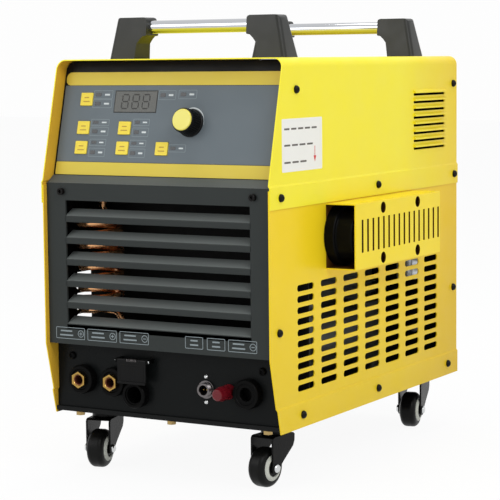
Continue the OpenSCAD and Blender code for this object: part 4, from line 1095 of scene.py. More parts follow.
@dataclass
class SheetCase(Assembly):
    """The folded sheets of the case, with their eased edges."""

    edge: float = 0.45
    bay: float = 24.5
    hood_skin: float = 0.3

    def build(self) -> None:
        """Builds every sheet."""
        cover = self.bench.softened("top_cover", LEMON, self.edge)
        # Painted shade: the cover's underside and inward faces get the darkened yellow.
        paint_faces(cover, PAINTED_SHADE_YELLOW, lambda at, normal: (
            normal.z < -0.5 or normal.x * (at.x - self.case.middle) < -0.03))
        self._side_panels()
        self._hood()
        for node in ("base_pan", "rear_panel", "control_panel"):
            self.bench.softened(node, CHARCOAL, self.edge)
        self.bench.softened("connector_panel", CONNECTOR_BLACK, self.edge)
        # Painted shade: the shelf is dressed black to stand for the shade inside the case.
        self.bench.dress(PAINTED_SHADE_BLACK, "mid_shelf")
        self._care_sticker()

    def _side_panels(self) -> None:
        """Builds the side panels, with painted shade: black on the inner faces behind the bay,
        darkened yellow on those in front of it, and brown behind the hood.
        """
        front = self.case.spot(0, self.bay, 0)
        low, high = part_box("filter_hood")
        for node, side in (("side_panel_right", 1), ("side_panel_left", -1)):
            splits = [(front, ALONG)]
            if side > 0:
                splits += [(corner, axis) for axis in (ALONG, UPWARD) for corner in (low, high)]
            panel = self.bench.softened(node, YELLOW, self.edge, splits=splits)
            # Painted shade on the inner faces: black behind the bay's front, darkened yellow in front
            # of it.
            for finish, way in ((PAINTED_SHADE_BLACK, 1), (PAINTED_SHADE_YELLOW, -1)):
                paint_faces(panel, finish, lambda at, normal, side=side, way=way: (
                    normal.x * side < -0.5 and (at.y - front.y) * way > 0))
            if side > 0:
                # Painted shade: the panel's outer face behind the hood is brown.
                paint_faces(panel, PAINTED_SHADE_BROWN, lambda at, normal: (
                    normal.x > 0.5 and low.y < at.y < high.y and low.z < at.z < high.z))

    def _hood(self) -> None:
        """Builds the hood, with painted shade in brown inside it and in its slots."""
        hood = self.bench.softened("filter_hood", AMBER, 0.25)
        low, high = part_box("filter_hood")
        skin = self.hood_skin * MM
        # Painted shade: every face within the hood's outer skin is brown.
        paint_faces(hood, PAINTED_SHADE_BROWN, lambda at, _: (
            at.x < high.x - skin and low.y + skin < at.y < high.y - skin
            and low.z + skin < at.z < high.z - skin))

    def _care_sticker(self) -> None:
        """Adds a bare white film on the right side, with plain bars where words would be."""
        place = self.case.at(self.case.half_width, 80.5, 409, Facing.RIGHT)
        slot, left, gap = "yellow_paint", -44, 4
        Draft().prism(place, rounded(99, 62, 1.5), 0.12).settled("care_sticker", STICKER, slot)
        bars = Draft()
        for height, count, right in ((19, 5, 40), (0, 4, 30), (-20, 3, 14)):
            pitch = (right - left) / count
            for i in range(count):
                bars.prism(place @ moved(left + (i + 0.5) * pitch - gap / 2, height, 0.1),
                           rounded(pitch - gap, 2.2, 0.9), 0.06)
        bars.settled("care_sticker_bars", SOFT_INK, slot)
        arrow = [(-0.7, -3), (-0.7, -14.5), (-3.2, -14.5), (0, -22), (3.2, -14.5), (0.7, -14.5),
                 (0.7, -3)]
        Draft().prism(place @ moved(31, 0, 0.1), arrow, 0.06).settled(
            "care_sticker_arrow", RED_INK, slot)


class Sign(Enum):
    """What a printed field has in its ring; a field without a sign has no ring."""

    NONE = 0
    PLUS = 1
    MINUS = 2


@dataclass
class LouvrePanel(Assembly):
    """The moulded front with its sloping blades and its printed strip."""

    recess: float = 6.5
    half: float = 158.2
    foot: float = 162.0
    head: float = 361.0
    sill: float = 188.1
    opening: float = 261.0
    blades: int = 5
    pitch: float = 26.65
    lip: float = 8.5
    depth: float = 16.0
    rise: float = 7.5
    skin: float = 2.5
    nose: float = 1.6
    wall: float = 3.0
    edge: float = 0.7
    print_row: float = 175.6
    fields: tuple[tuple[float, float, Sign], ...] = (
        (-126.6, 43, Sign.PLUS), (-79.6, 43, Sign.PLUS), (-32.7, 42, Sign.MINUS),
        (52.4, 25, Sign.NONE), (82.8, 25, Sign.NONE), (119.0, 39, Sign.MINUS))

    def build(self) -> None:
        """Builds the shell, the blades and the print."""
        self._moulding()
        self._print()

    def _blade_outline(self) -> list[Point]:
        """Returns a blade's section as depth and height, with a soft nose.

        Returns:
            The outline.
        """
        rim = [polar(self.nose, 90 + angle) for angle in (0, 22, 45, 68, 90)]
        return ([(self.depth, self.rise)] + [(self.nose + x, y - self.nose) for x, y in rim] +
                [(0, 0.8 - self.lip), (0.8, -self.lip), (self.skin, -self.lip),
                 (self.skin, -2.2), (self.depth, self.rise - self.skin)])

    def _moulding(self) -> None:
        """Builds the frame round the opening with one blade repeated over it."""
        case, wall, back = self.case, self.wall, self.recess
        blade = Draft().prism(Facing.RIGHT.turn() @ moved(0, 0, -self.opening / 2 - 1),
                              self._blade_outline(), self.opening + 2, 0.35).made("blade_master")
        top = self.sill + (self.blades + 1) * self.pitch - 8.2
        middle = (self.foot + self.head) / 2
        shift = (self.sill - 1 + top) / 2 - middle
        inner = [(x, y + shift) for x, y in rounded(self.opening, top - self.sill + 1, 0.5, 1)]
        shell = Draft().frame(case.at(0, back + wall, middle, Facing.FRONT),
                              sharp(2 * self.half, self.head - self.foot), inner, wall, self.edge)
        for side in (-1, 1):
            shell.prism(case.at(side * (self.half - wall / 2), 33, (self.foot + 358) / 2,
                                Facing.FRONT), sharp(wall, 196), 32 - back, 0.3)
        ledge, rear = case.panel_depth(case.panel_foot) - 0.3, 23.7
        shelf = [(back + 0.2, self.head - 1.2), (back + 0.9, self.head - 0.2),
                 (ledge, case.panel_foot), (ledge, case.panel_foot - wall),
                 (back + wall, self.head - wall)]
        lower = [(back + 2.9, self.foot), (rear, self.foot), (rear, self.foot + wall),
                 (back + 2.9, self.foot + wall)]
        for outline in (shelf, lower):
            shell.prism(case.at(-self.half, 0, 0, Facing.RIGHT), outline, 2 * self.half, 0.3)
        start = shell.made("louvre_shell")
        first = case.at(0, back, self.sill)
        start.data.transform(first.inverted())
        piece = self.bench.patterns.rows.grown(start, "louvre_moulding", LOUVRE, {
            "Piece": blade, "Count": self.blades + 1, "Pitch": self.pitch * MM})
        bpy.data.objects.remove(blade)
        piece.data.transform(first)
        # Painted light: the blades' and the ledge's upward faces get the lighter greys, as light from
        # above falls on them.
        ridge = (self.head - 5) * MM
        paint_faces(piece, BLADE_TOP_PAINTED_LIGHT, lambda at, normal: normal.z > 0.6 and at.z < ridge)
        paint_faces(piece, LEDGE_PAINTED_LIGHT, lambda at, normal: normal.z > 0.6 and at.z > ridge)
        settle(piece, "louvre_plastic", "front_louvre_panel")

    def _print(self) -> None:
        """Prints the outlined fields under the blades, each with plain generic marks."""
        ink, marks = Draft(), Draft()
        for x, width, sign in self.fields:
            place = self.case.at(x, self.recess, self.print_row, Facing.FRONT)
            ink.frame(place, rounded(width, 14.5, 1.4), rounded(width - 1.5, 13.0, 0.9), 0.08)
            shift = 0.0 if sign is Sign.NONE else -width * 0.14
            for y, share in ((2.6, 0.40), (-2.6, 0.46)):
                marks.prism(place @ moved(shift, y, 0), rounded(width * share, 1.8, 0.6), 0.07)
            if sign is not Sign.NONE:
                hub = place @ moved(width * 0.36, 0, 0)
                marks.frame(hub, polygon(24, 4.4), polygon(24, 3.6), 0.07)
                marks.prism(hub, rounded(4.4, 0.9, 0.2), 0.07)
            if sign is Sign.PLUS:
                marks.prism(hub, rounded(0.9, 4.4, 0.2), 0.075)
        ink.settled("field_outlines", GREY_INK, "louvre_plastic")
        marks.settled("field_marks", GREY_INK, "louvre_plastic")


# ---- Control panel ------------------------------------------------------------------


@dataclass
class ControlFace(Assembly):
    """The films, the display, the keys and the marks printed round them."""

    print_level: float = 0.5
    ink: float = 0.06
    keys: int = 6
    display: Point = (-49.0, 459.3)
    arc_radius: float = 17.7
    lamp_boxes: tuple[tuple[float, float, float, float], ...] = (
        (-112, -83.7, 462.5, 472.8), (-112, -83.7, 451.6, 461.9),
        (-111, -84, 430, 438.0), (-111, -84, 417.8, 428.4),
        (-49, -25.5, 430.4, 438.6), (-49, -25.5, 417.3, 428),
        (-109.7, -85.5, 405.7, 413.9), (-109.7, -85.5, 392.5, 403),
        (-50.7, -27, 405.4, 413.4), (-50.7, -27, 392.3, 403),
        (6, 30, 399.7, 408.8), (-17, 7.6, 461.5, 472.8), (11.4, 37, 462.7, 473.4))

    def build(self) -> None:
        """Dresses the films and the keys, and prints the marks."""
        self.bench.dress(SLATE, "panel_overlay")
        self.bench.dress(BAND, "panel_bands")
        for number in range(1, self.keys + 1):
            self._key(f"key_{number}")
        self._display()
        self._lamp_boxes()
        self._dial_arc()
        self._band_lines()

    def _key(self, key: str) -> None:
        """Builds a key and prints two short bars on it, which move with it.

        Args:
            key: the name of its node and its body.
        """
        self.bench.softened(key, KEY, 0.35)
        middle = self.case.centre(key)
        place = self.case.on_panel(middle.x, middle.z + 0.15, 1.7)
        bars = Draft()
        for y, wide in ((2.4, 7.0), (-2.4, 9.5)):
            bars.prism(place @ moved(0, y, 0), rounded(wide, 1.3, 0.4), 0.05)
        bars.settled(key + "_bars", KEY_INK, "key_plastic", body=key)

    def _display(self) -> None:
        """Builds the smoked window with its bezel and three unlit digits."""
        self.bench.softened("display_window", WINDOW, 0.3)
        place = self.case.on_panel(*self.display, 0.72)
        bezel = Draft().frame(place, rounded(61.4, 26.9, 0.6), rounded(59.8, 25.3, 0.4), 0.1)
        bezel.settled("display_bezel", DARK_INK, "display_plastic")
        flat, upright, slant = (7.5, 1.7), (1.7, 6.6), 0.08
        segments = [(0, y, *flat) for y in (8.6, 0, -8.6)]
        segments += [(x, y, *upright) for y in (4.3, -4.3) for x in (-4.6, 4.6)]
        digits = Draft()
        for digit in (-1, 0, 1):
            for x, y, wide, tall in segments:
                digits.prism(place @ moved(digit * 15, 0, 0) @ moved(x + y * slant, y, 0),
                             rounded(wide, tall, 0.5, 2), 0.04)
        digits.settled("display_digits", DARK_INK, "display_plastic")

    def _lamp_boxes(self) -> None:
        """Prints the outlined boxes, each with an unlit lamp and a plain mark."""
        lines, lamps, marks = Draft(), Draft(), Draft()
        for left, right, low, high in self.lamp_boxes:
            wide, tall = right - left, (high - low) / math.cos(self.case.tilt)
            place = self.case.on_panel((left + right) / 2, (low + high) / 2, self.print_level)
            lines.frame(place, rounded(wide, tall, 1.2), rounded(wide - 1.1, tall - 1.1, 0.8),
                        self.ink)
            lamps.prism(place @ moved(-wide * 0.24, 0, 0), rounded(wide * 0.30, tall * 0.42, 0.8),
                        0.25, 0.08)
            marks.prism(place @ moved(wide * 0.22, 0, 0), rounded(wide * 0.26, tall * 0.20, 0.5),
                        self.ink)
        lines.settled("lamp_outlines", GREY_INK, "overlay_film")
        lamps.settled("lamps", LAMP, "overlay_film")
        marks.settled("lamp_marks", PALE_INK, "overlay_film")

    def _dial_arc(self) -> None:
        """Prints the pale scale that widens round the knob."""
        steps = 40
        outer, inner = [], []
        for i in range(steps + 1):
            angle = 105 - 112 * i / steps
            widening = 0.3 + 1.5 * math.sin(math.pi * min(1.0, 0.2 + i / steps))
            outer.append(polar(self.arc_radius + widening, angle))
            inner.append(polar(self.arc_radius, angle))
        Draft().prism(self.case.on_panel(*self.case.knob, self.print_level), outer + inner[::-1],
                      self.ink).settled("dial_arc", PALE_INK, "overlay_film")

    def _band_lines(self) -> None:
        """Prints a thin line along each coloured band's inner edge."""
        lines = Draft()
        for z in (386.2, 478.8):
            lines.prism(self.case.on_panel(0, z, self.print_level), rounded(311, 0.5, 0.1, 1),
                        self.ink)
        lines.settled("band_lines", DARK_INK, "overlay_film")


@dataclass
class SelectorKnob(Assembly):
    """The ribbed knob and its cap."""

    length: float = 20.0
    ribs: Ribs = Ribs(36, 14.8, 1.3, 1.6, 15.0, 11.1, 1.03, 0.955)

    def build(self) -> None:
        """Builds the knob and the cap."""
        place = self.case.on_panel(*self.case.knob, 0.8)
        core = Draft().turned(AT_ORIGIN, [
            (3.1, 0), (16.6, 0), (17, 0.4), (17, 2.4), (16.4, 3), (15.6, 3.4),
            (14.3, self.length - 0.6), (13.7, self.length), (3.1, self.length)], 72, ring=True)
        knob = self.bench.patterns.ribbed("knob_ribbed", core, self.ribs, PLASTIC)
        knob.data.transform(place)
        settle(knob, "black_plastic", "knob", body="knob")
        Draft().turned(place @ moved(0, 0, self.length), [
            (0, 0), (13.0, 0), (13.0, 1.1), (12.5, 1.8), (11.6, 2.0), (0, 2.0)], 72).settled(
                "knob_cap_disc", CAP_YELLOW, "cap_plastic", "knob_cap", body="knob")


# ---- Connector bay ------------------------------------------------------------------


@dataclass
class ConnectorBay(Assembly):
    """The sockets, the torch socket's flap, the trigger socket and the pilot terminal."""

    recess: float = 24.0
    row: float = 117.5
    sockets: Triple = (-118.0, -71.5, 118.0)
    torch: Point = (-39.5, 104.0)
    hinge_row: float = 146.6
    hinge_out: float = 12.1
    spring_turns: int = 8
    trigger: float = 58.0
    pilot: float = 90.0
    cap_ribs: Ribs = Ribs(20, 8.2, 1.1, 0.9, 14.0, 8.2)

    def build(self) -> None:
        """Builds every connector."""
        self._output_sockets()
        self._inserts()
        self._torch_socket()
        self._flap()
        self._trigger_socket()
        self._pilot_terminal()

    def _out(self, x: float, z: float, out: float = 0.0) -> Matrix:
        """Returns a place on the connector panel, pointing forward."""
        return self.case.at(x, self.recess - out, z, Facing.FRONT)

    def _output_sockets(self) -> None:
        """Builds the round insulating bodies."""
        bodies = Draft()
        for x in self.sockets:
            bodies.turned(self._out(x, self.row), [
                (8.05, -30), (13, -30), (13, 0), (17.4, 0), (18, 0.6), (18, 8.8), (17.2, 10.2),
                (17.2, 11.2), (16.4, 12), (13.2, 12), (12.6, 11.4), (12.2, 10.6), (8.6, 10.6),
                (8.05, 10.0)], 64, ring=True)
            bodies.prism(self._out(x, self.row, -7.5), polygon(6, 16), 6, 0.5)
        bodies.settled("socket_bodies", SOCKET, "black_plastic", "output_sockets")

    def _inserts(self) -> None:
        """Builds the brass sleeves, two of them with a hexagon."""
        sleeves, bores = Draft(), Draft()
        for x in self.sockets:
            front = 16.0 if x < 0 else -2.0
            place = self._out(x, self.row)
            sleeves.turned(place, [(6.5, -22), (8, -22), (8, front - 0.4), (7.6, front),
                                   (7.0, front), (6.5, front - 0.6)], ring=True)
            sleeves.turned(place, disc(8, -28, -21.8))
            if x < 0:
                sleeves.frame(place @ moved(0, 0, 12), spread_hexagon(48, 9.0), polygon(48, 7.2),
                              4.0)
            bores.turned(place, [(5.6, -21.6), (6.45, -21.6), (6.45, front - 1.2),
                                 (5.6, front - 1.6)], ring=True)
            bores.turned(place, disc(6.4, -21.6, -20.8))
        sleeves.settled("brass_sleeves", BRASS, "brass", "socket_inserts")
        bores.settled("sleeve_bores", BORE, "brass")

    def _torch_socket(self) -> None:
        """Builds the torch socket's housing, its hinge ears and the heads of the hinge's pin."""
        place, middle = self._out(*self.torch), self.torch[0]
        housing = Draft().turned(place, [
            (10.5, -30), (13.3, -30), (13.3, 0), (15.8, 0), (16.3, 0.5), (16.3, 10.9),
            (15.6, 11.9), (14.8, 12.4), (12.4, 12.4), (11.8, 11.8), (11.4, 9.6), (10.5, 9.0)],
            64, ring=True)
        housing.turned(place, disc(13.3, -35, -29.8))
        pins = Draft()
        for side, facing in ((-1, Facing.LEFT), (1, Facing.RIGHT)):
            housing.prism(self._out(middle + side * 22.3, self.hinge_row), rounded(3, 5.2, 0.8),
                          14.7, 0.3)
            pins.turned(self.case.at(middle + side * 23.6, self.recess - self.hinge_out,
                                     self.hinge_row, facing),
                        [(0, 0), (2.2, 0), (2.2, 0.5), (1.5, 1.1), (0, 1.3)], 24)
        housing.settled("torch_housing", SOCKET, "black_plastic", "torch_socket")
        pins.settled("hinge_pin_heads", STEEL, "bright_steel")

    def _flap(self) -> None:
        """Builds the spring flap, with its stiffening frame and closing spring."""
        hinge = self._out(self.torch[0], self.hinge_row, self.hinge_out)
        axis = hinge @ spun(90, "Y")
        flap = Draft().turned(axis @ moved(0, 0, -20.5), [
            (0, 0), (2.5, 0), (2.6, 0.2), (2.6, 12), (2.1, 12.4), (2.1, 28.6), (2.6, 29),
            (2.6, 40.8), (2.5, 41), (0, 41)], 24)
        flap.prism(hinge @ moved(0, -14.0, 0.65), rounded(41, 28.6, 1.2), 1.95, 0.4)
        flap.prism(hinge @ moved(0, -27.0, 1.2), rounded(41, 3.0, 1.0), 2.9, 0.6)
        flap.frame(hinge @ moved(0, -14.6, 2.4), rounded(35, 19, 1.5), rounded(32.4, 16.4, 1.0),
                   0.35)
        flap.settled("spring_flap", FLAP, "flap_plastic", "torch_flap", body="torch_flap")
        steps, pitch, coil_radius, wire = 15, 1.845, 2.5, 0.4
        route = [axis @ (Vector((*polar(coil_radius, 360 * i / steps), i * pitch / steps - 7.4)) * MM)
                 for i in range(self.spring_turns * steps + 1)]
        coil = self.bench.patterns.along("flap_spring", route, wire, GUNMETAL, 6)
        settle(coil, "flap_plastic", body="torch_flap")

    def _trigger_socket(self) -> None:
        """Builds the threaded two-pin trigger socket and its two fixing screws."""
        place, slot = self._out(self.trigger, self.row), "bright_steel"
        thread = [(radius, 2.5 + turn * 1.05 + rise) for turn in range(5)
                  for radius, rise in ((8.5, 0), (8.1, 0.5))]
        shell = Draft().turned(place, [
            (6.0, -9.9), (7, -18), (7, 0), (10.6, 0), (11, 0.4), (11, 1.7), (10.6, 2.0),
            (8.5, 2.0), *thread, (8.5, 7.7), (8.2, 8.0), (6.3, 8.0), (6.0, 7.7)], ring=True)
        shell.turned(place, disc(7, -18, -10.2), 32)
        shell.settled("trigger_shell", GUNMETAL, slot, "control_socket")
        Draft().turned(place, [(0, -10), (5.9, -10), (5.9, -6), (5.5, -5.6), (0, -5.6)],
                       32).settled("trigger_core", PLASTIC, slot)
        pins = Draft()
        for x in (-2.2, 2.2):
            pins.turned(place @ moved(x, 0, -6), [(0, 0), (1, 0), (1, 8.4), (0.5, 9), (0, 9)], 20)
        pins.settled("trigger_pins", BRASS, slot)
        head = Draft().turned(AT_ORIGIN, [(0, 0), (2.6, 0), (2.5, 1.2), (1.6, 2.2), (0, 2.4)], 24)
        places = [self._out(self.trigger, self.row + side * 15.4) for side in (-1, 1)]
        self.bench.repeated("trigger_screws", head, places, STEEL, slot)

    def _pilot_terminal(self) -> None:
        """Builds the red pilot terminal with its grooved cap."""
        place = self._out(self.pilot, self.row)
        Draft().turned(place, [
            (0, -20), (3, -20), (3, 0), (9.0, 0), (9.2, 0.3), (9.2, 4.2), (8.2, 6.0), (2.5, 6.0),
            (2.5, 24), (0, 24)]).settled("pilot_post_turned", RED, "red_plastic", "pilot_post")
        core = Draft().turned(AT_ORIGIN, [
            (2.56, 0), (8.1, 0), (8.5, 0.4), (8.3, 15.8), (7.6, 17.2), (7.4, 18.4), (7.4, 20.6),
            (6.6, 22.8), (5.0, 23.8), (0, 23.8), (0, 19), (2.56, 18.4)], 60, ring=True)
        cap = self.bench.patterns.ribbed("pilot_cap_grooved", core, self.cap_ribs, RED)
        cap.data.transform(place @ moved(0, 0, 6.2))
        settle(cap, "red_plastic", "pilot_cap", body="pilot_cap")


# ---- Filter, handles, casters -------------------------------------------------------


@dataclass
class IntakeFilter(Assembly):
    """The round intake filter in the hood's open end."""

    ribs: Ribs = Ribs(48, 37.2, 1.2, 0.6, 10.0, 6.8)

    def build(self) -> None:
        """Builds the filter's drum, with its step and its ribbed rim."""
        middle = self.case.centre("air_filter")
        core = Draft().turned(AT_ORIGIN, [
            (0, -22), (18, -22), (18, 0), (36.6, 0), (37.5, 0.8), (37.5, 12.4), (36.4, 13.6),
            (34, 14), (33, 15), (33, 33.5), (32, 35), (30, 35.5), (28, 34.6), (0, 34.6)], 72)
        drum = self.bench.patterns.ribbed("intake_filter", core, self.ribs, SOCKET)
        drum.data.transform(
            self.case.at(self.case.half_width, middle.y, middle.z, Facing.RIGHT))
        settle(drum, "black_plastic", "air_filter")


@dataclass
class CarryHandles(Assembly):
    """The two chrome tubes and their four moulded brackets."""

    radius: float = 8.2
    wall: float = 1.5
    reach: float = 92.0

    def build(self) -> None:
        """Builds the brackets and the tubes."""
        self.bench.softened("handle_brackets", SATIN, 1.3, 3, "moulded_brackets")
        low, high = (corner.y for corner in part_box("handle_tubes"))
        height = self.case.centre("handle_tubes").z
        bore = self.radius - self.wall
        tubes = Draft()
        for y in (low + self.radius * MM, high - self.radius * MM):
            tubes.turned(
                self.case.at(-self.reach, (y - self.case.front) / MM, height, Facing.RIGHT),
                [(bore, 0), (self.radius, 0), (self.radius, 2 * self.reach),
                 (bore, 2 * self.reach)], 96, ring=True)
        tubes.settled("chrome_tubes", CHROME, "chrome", "handle_tubes")


@dataclass
class Caster(Assembly):
    """One caster: its fork, axle, tyre, ring and hub covers."""

    corner: str
    joint: str
    wheel: float = 24.0
    tyre: float = 22.0
    shoulder: float = 7.0
    ring: float = 16.0

    def build(self) -> None:
        """Builds the caster's pieces on its two bodies."""
        corner, shoulder, half = self.corner, self.shoulder, self.tyre / 2
        self.bench.softened(f"caster_fork_{corner}", FORK, 0.8, 3)
        self.bench.softened(f"caster_axle_{corner}", STEEL, 0.4)
        hub, body = self.bench.joint(self.joint), f"wheel_{corner}"
        crown = [(self.ring + 0.05, -half), (self.wheel - shoulder, -half)]
        steps = 12
        for i in range(1, steps + 1):
            out, rise = polar(shoulder, 90 * i / steps - 90)
            crown.append((self.wheel - shoulder + out, -half + shoulder + rise))
        Draft().turned(hub, mirrored(crown), 96, ring=True).settled(
            f"tyre_{corner}", TYRE, "tyre_rubber", f"caster_tyre_{corner}", body=body)
        face = half + 0.3
        ring = [(3.05, face - 0.8), (10.2, face - 0.4), (10.6, face + 1.6), (11.4, face + 2.3),
                (13.0, face + 1.9), (15.0, face + 0.9), (self.ring, face - 0.4)]
        Draft().turned(hub, mirrored(ring), 96, ring=True).settled(
            f"wheel_ring_{corner}", RING, "wheel_plastic", f"caster_wheel_{corner}", body=body)
        covers = Draft()
        for side in (-1, 1):
            cover = [(3.1, face - 1.2), (10.4, face - 1.2), (10.4, face + 0.4), (8.0, face + 1.1),
                     (5.0, face + 2.2), (3.1, face + 2.2)]
            covers.turned(hub, [(r, side * z) for r, z in cover], ring=True)
        covers.settled(f"hub_covers_{corner}", PLASTIC, "tyre_rubber", body=body)


@dataclass
class Casters(Assembly):
    """The four casters and the plates that carry them."""

    bolt_depth: float = 36.6867
    bolt_row: float = 72.6

    def build(self) -> None:
        """Builds the four casters, then the plates in black with bright bolts below."""
        for corner, joint in (("fl", "front_left_roll"), ("fr", "front_right_roll"),
                              ("rl", "rear_left_roll"), ("rr", "rear_right_roll")):
            Caster(self.bench, corner, joint).build()
        self.bench.softened("caster_plates", FORK, 0.5, name="caster_mounts")
        bolt = Draft().prism(AT_ORIGIN, polygon(6, 6.05), 4.6, 0.5)
        bolt.turned(moved(0, 0, -1.2), disc(6.9, 0, 1.2), 32)
        places = [self.case.at(x, self.bolt_depth, self.bolt_row, Facing.DOWN)
                  for x in (-135, 0, 135)]
        self.bench.repeated("pan_bolts", bolt, places, ZINC, "zinc_plate")


# ---- Fasteners ----------------------------------------------------------------------


@dataclass
class Fasteners(Assembly):
    """Every screw that shows on the case."""

    sheet: float = 160.0
    band: float = 161.7
    hood: float = 161.5

    def build(self) -> None:
        """Builds the pan heads and the socket heads."""
        case, slot = self.case, "black_screws"
        sides = [(65.6, 473.6, self.sheet), (515, 473.6, self.sheet), (24, 349.3, self.band),
                 (278, 349.3, self.band), (515, 349.3, self.band), (21, 192, self.sheet),
                 (515, 192, self.sheet), (74.4, 87.5, self.band), (277, 87.5, self.band),
                 (494, 87.5, self.band)]
        places = []
        for depth, z, x in sides:
            places.append(case.at(x, depth, z, Facing.RIGHT) @ spun(depth * 7 % 90))
            places.append(case.at(-x, depth, z, Facing.LEFT) @ spun(depth * 11 % 90))
        for depth in (215, 315):
            for z in (264, 326):
                places.append(case.at(self.hood, depth, z, Facing.RIGHT) @ spun(depth * 5 % 90))
        self.bench.repeated("pan_heads", self._pan_head(), places, SCREW, slot, "case_screws")
        self.bench.repeated("socket_heads", self._socket_head(), [
            case.at(side * 135.5, 6.5, 350.5, Facing.FRONT) for side in (-1, 1)], SCREW, slot)
        self.bench.repeated("bay_screws", self._pan_head(), [
            case.at(side * 136, 24, 145, Facing.FRONT) for side in (-1, 1)], SOCKET, slot)

    @staticmethod
    def _pan_head() -> Draft:
        """Drafts a pan head with a raised cross-shaped edge round its recess, and its shank.

        Returns:
            The draft.
        """
        head = Draft().turned(AT_ORIGIN, [
            (0, -8), (2, -8), (2, 0), (4.8, 0), (4.8, 1.2), (4.5, 2.2), (3.9, 3.1), (3.1, 3.7),
            (2.2, 4.0), (1.9, 3.4), (0.9, 2.4), (0, 2.2)], 32)
        for turn in (0, 180, 90, 270):
            head.prism(spun(turn) @ moved(2.15, 0, 3.15) @ spun(12, "Y"),
                       rounded(1.7, 1.15, 0.2, 2), 0.62, 0.1)
        return head

    @staticmethod
    def _socket_head() -> Draft:
        """Drafts a socket cap head with its shank.

        Returns:
            The draft.
        """
        head = Draft().turned(AT_ORIGIN, [
            (2.2, 2.4), (2.2, 4.6), (2.5, 5.0), (3.8, 5.0), (4.2, 4.6), (4.2, 0), (2, 0),
            (2, -8), (0, -8), (0, 2.4)], 32, ring=True)
        return head.frame(moved(0, 0, 2.4), polygon(24, 2.4), spread_hexagon(24, 2.0), 2.2)


# ---- Rear and inside ----------------------------------------------------------------


@dataclass
class RearFittings(Assembly):
    """The fan, the breaker and the cable gland."""

    screw_reach: float = 66.0

    def build(self) -> None:
        """Builds the rear's pieces."""
        for node, finish, rounding, steps in (
                ("fan_frame", PLASTIC, 0.5, 2), ("fan_rotor", PLASTIC, 0.4, 2),
                ("breaker_body", PLASTIC, 0.6, 2), ("breaker_lever", LEVER, 0.8, 3),
                ("cable_gland", PLASTIC, 0.5, 2)):
            self.bench.softened(node, finish, rounding, steps)
        self._fan_screws()
        self._breaker_signs()

    def _fan_screws(self) -> None:
        """Adds the four screws that hold the fan to the rear panel."""
        middle, reach = self.case.centre("fan_frame"), self.screw_reach
        head = Draft().turned(AT_ORIGIN, [(0, -6), (2, -6), (2, 0), (4.4, 0), (4.4, 1.2),
                                          (3.6, 2.4), (2.0, 3.0), (0, 3.0)], 28)
        places = [self.case.at(middle.x + x, self.case.length, middle.z + z, Facing.REAR)
                  for x in (-reach, reach) for z in (-reach, reach)]
        self.bench.repeated("fan_screws", head, places, SCREW, "black_screws")

    def _breaker_signs(self) -> None:
        """Prints the plain on and off signs, a bar and a ring, beside the breaker's lever."""
        face = self.case.at(40, self.case.length + 3, 205, Facing.REAR)
        signs = Draft().prism(face @ moved(0, 24, 0), rounded(1.2, 7, 0.3), 0.1)
        signs.frame(face @ moved(0, -24, 0), polygon(28, 3.6), polygon(28, 2.6), 0.1)
        signs.settled("breaker_signs", PALE_INK, "black_plastic")


@dataclass
class InnerParts(Assembly):
    """What shows through the slots and the louvres."""

    radius: float = 25.0
    tube: float = 4.5
    pitch: float = 13.4
    turns: int = 9
    bend: float = 13.0
    below_brow: float = 48.5

    def build(self) -> None:
        """Dresses the inner parts and draws the cooling coil."""
        for node, finish, rounding, steps in (
                ("compressor", ALUMINIUM, 0.8, 2), ("heat_sink", ALUMINIUM, 0.3, 1),
                ("transformer", CORE, 0.6, 2), ("air_valve", FITTING, 0.5, 2),
                ("circuit_boards", BOARD, 0.2, 1)):
            self.bench.softened(node, finish, rounding, steps)
        self._coil()

    def _coil(self) -> None:
        """Draws the coil: up from its lower fitting, round the turns, and up to the shelf."""
        low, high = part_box("cooling_coil")
        reach = (self.radius + self.tube) * MM
        centre = Vector((low.x + reach, low.y + reach, 0))
        radius, bend, steps, bend_steps = self.radius, self.bend, 40, 8
        top = self.case.brow - self.below_brow
        start = top - self.turns * self.pitch
        route = [(bend, radius, low.z / MM), (bend, radius, start - 2.2 * bend)]
        for i in range(bend_steps + 1):
            x, z = polar(bend, 90 * i / bend_steps)
            route.append((x, radius, start - bend + z))
        for i in range(1, self.turns * steps + 1):
            route.append((*polar(radius, 90 + i * 360 / steps), start + i * self.pitch / steps))
        for i in range(1, bend_steps + 1):
            z, x = polar(bend, 90 * i / bend_steps)
            route.append((-x, radius, top + bend - z))
        route.append((-bend, radius, high.z / MM))
        coil = self.bench.patterns.along(
            "copper_coil", [centre + Vector(p) * MM for p in route], self.tube, COPPER, 16)
        settle(coil, "copper", "cooling_coil")


# ---- Studio -------------------------------------------------------------------------


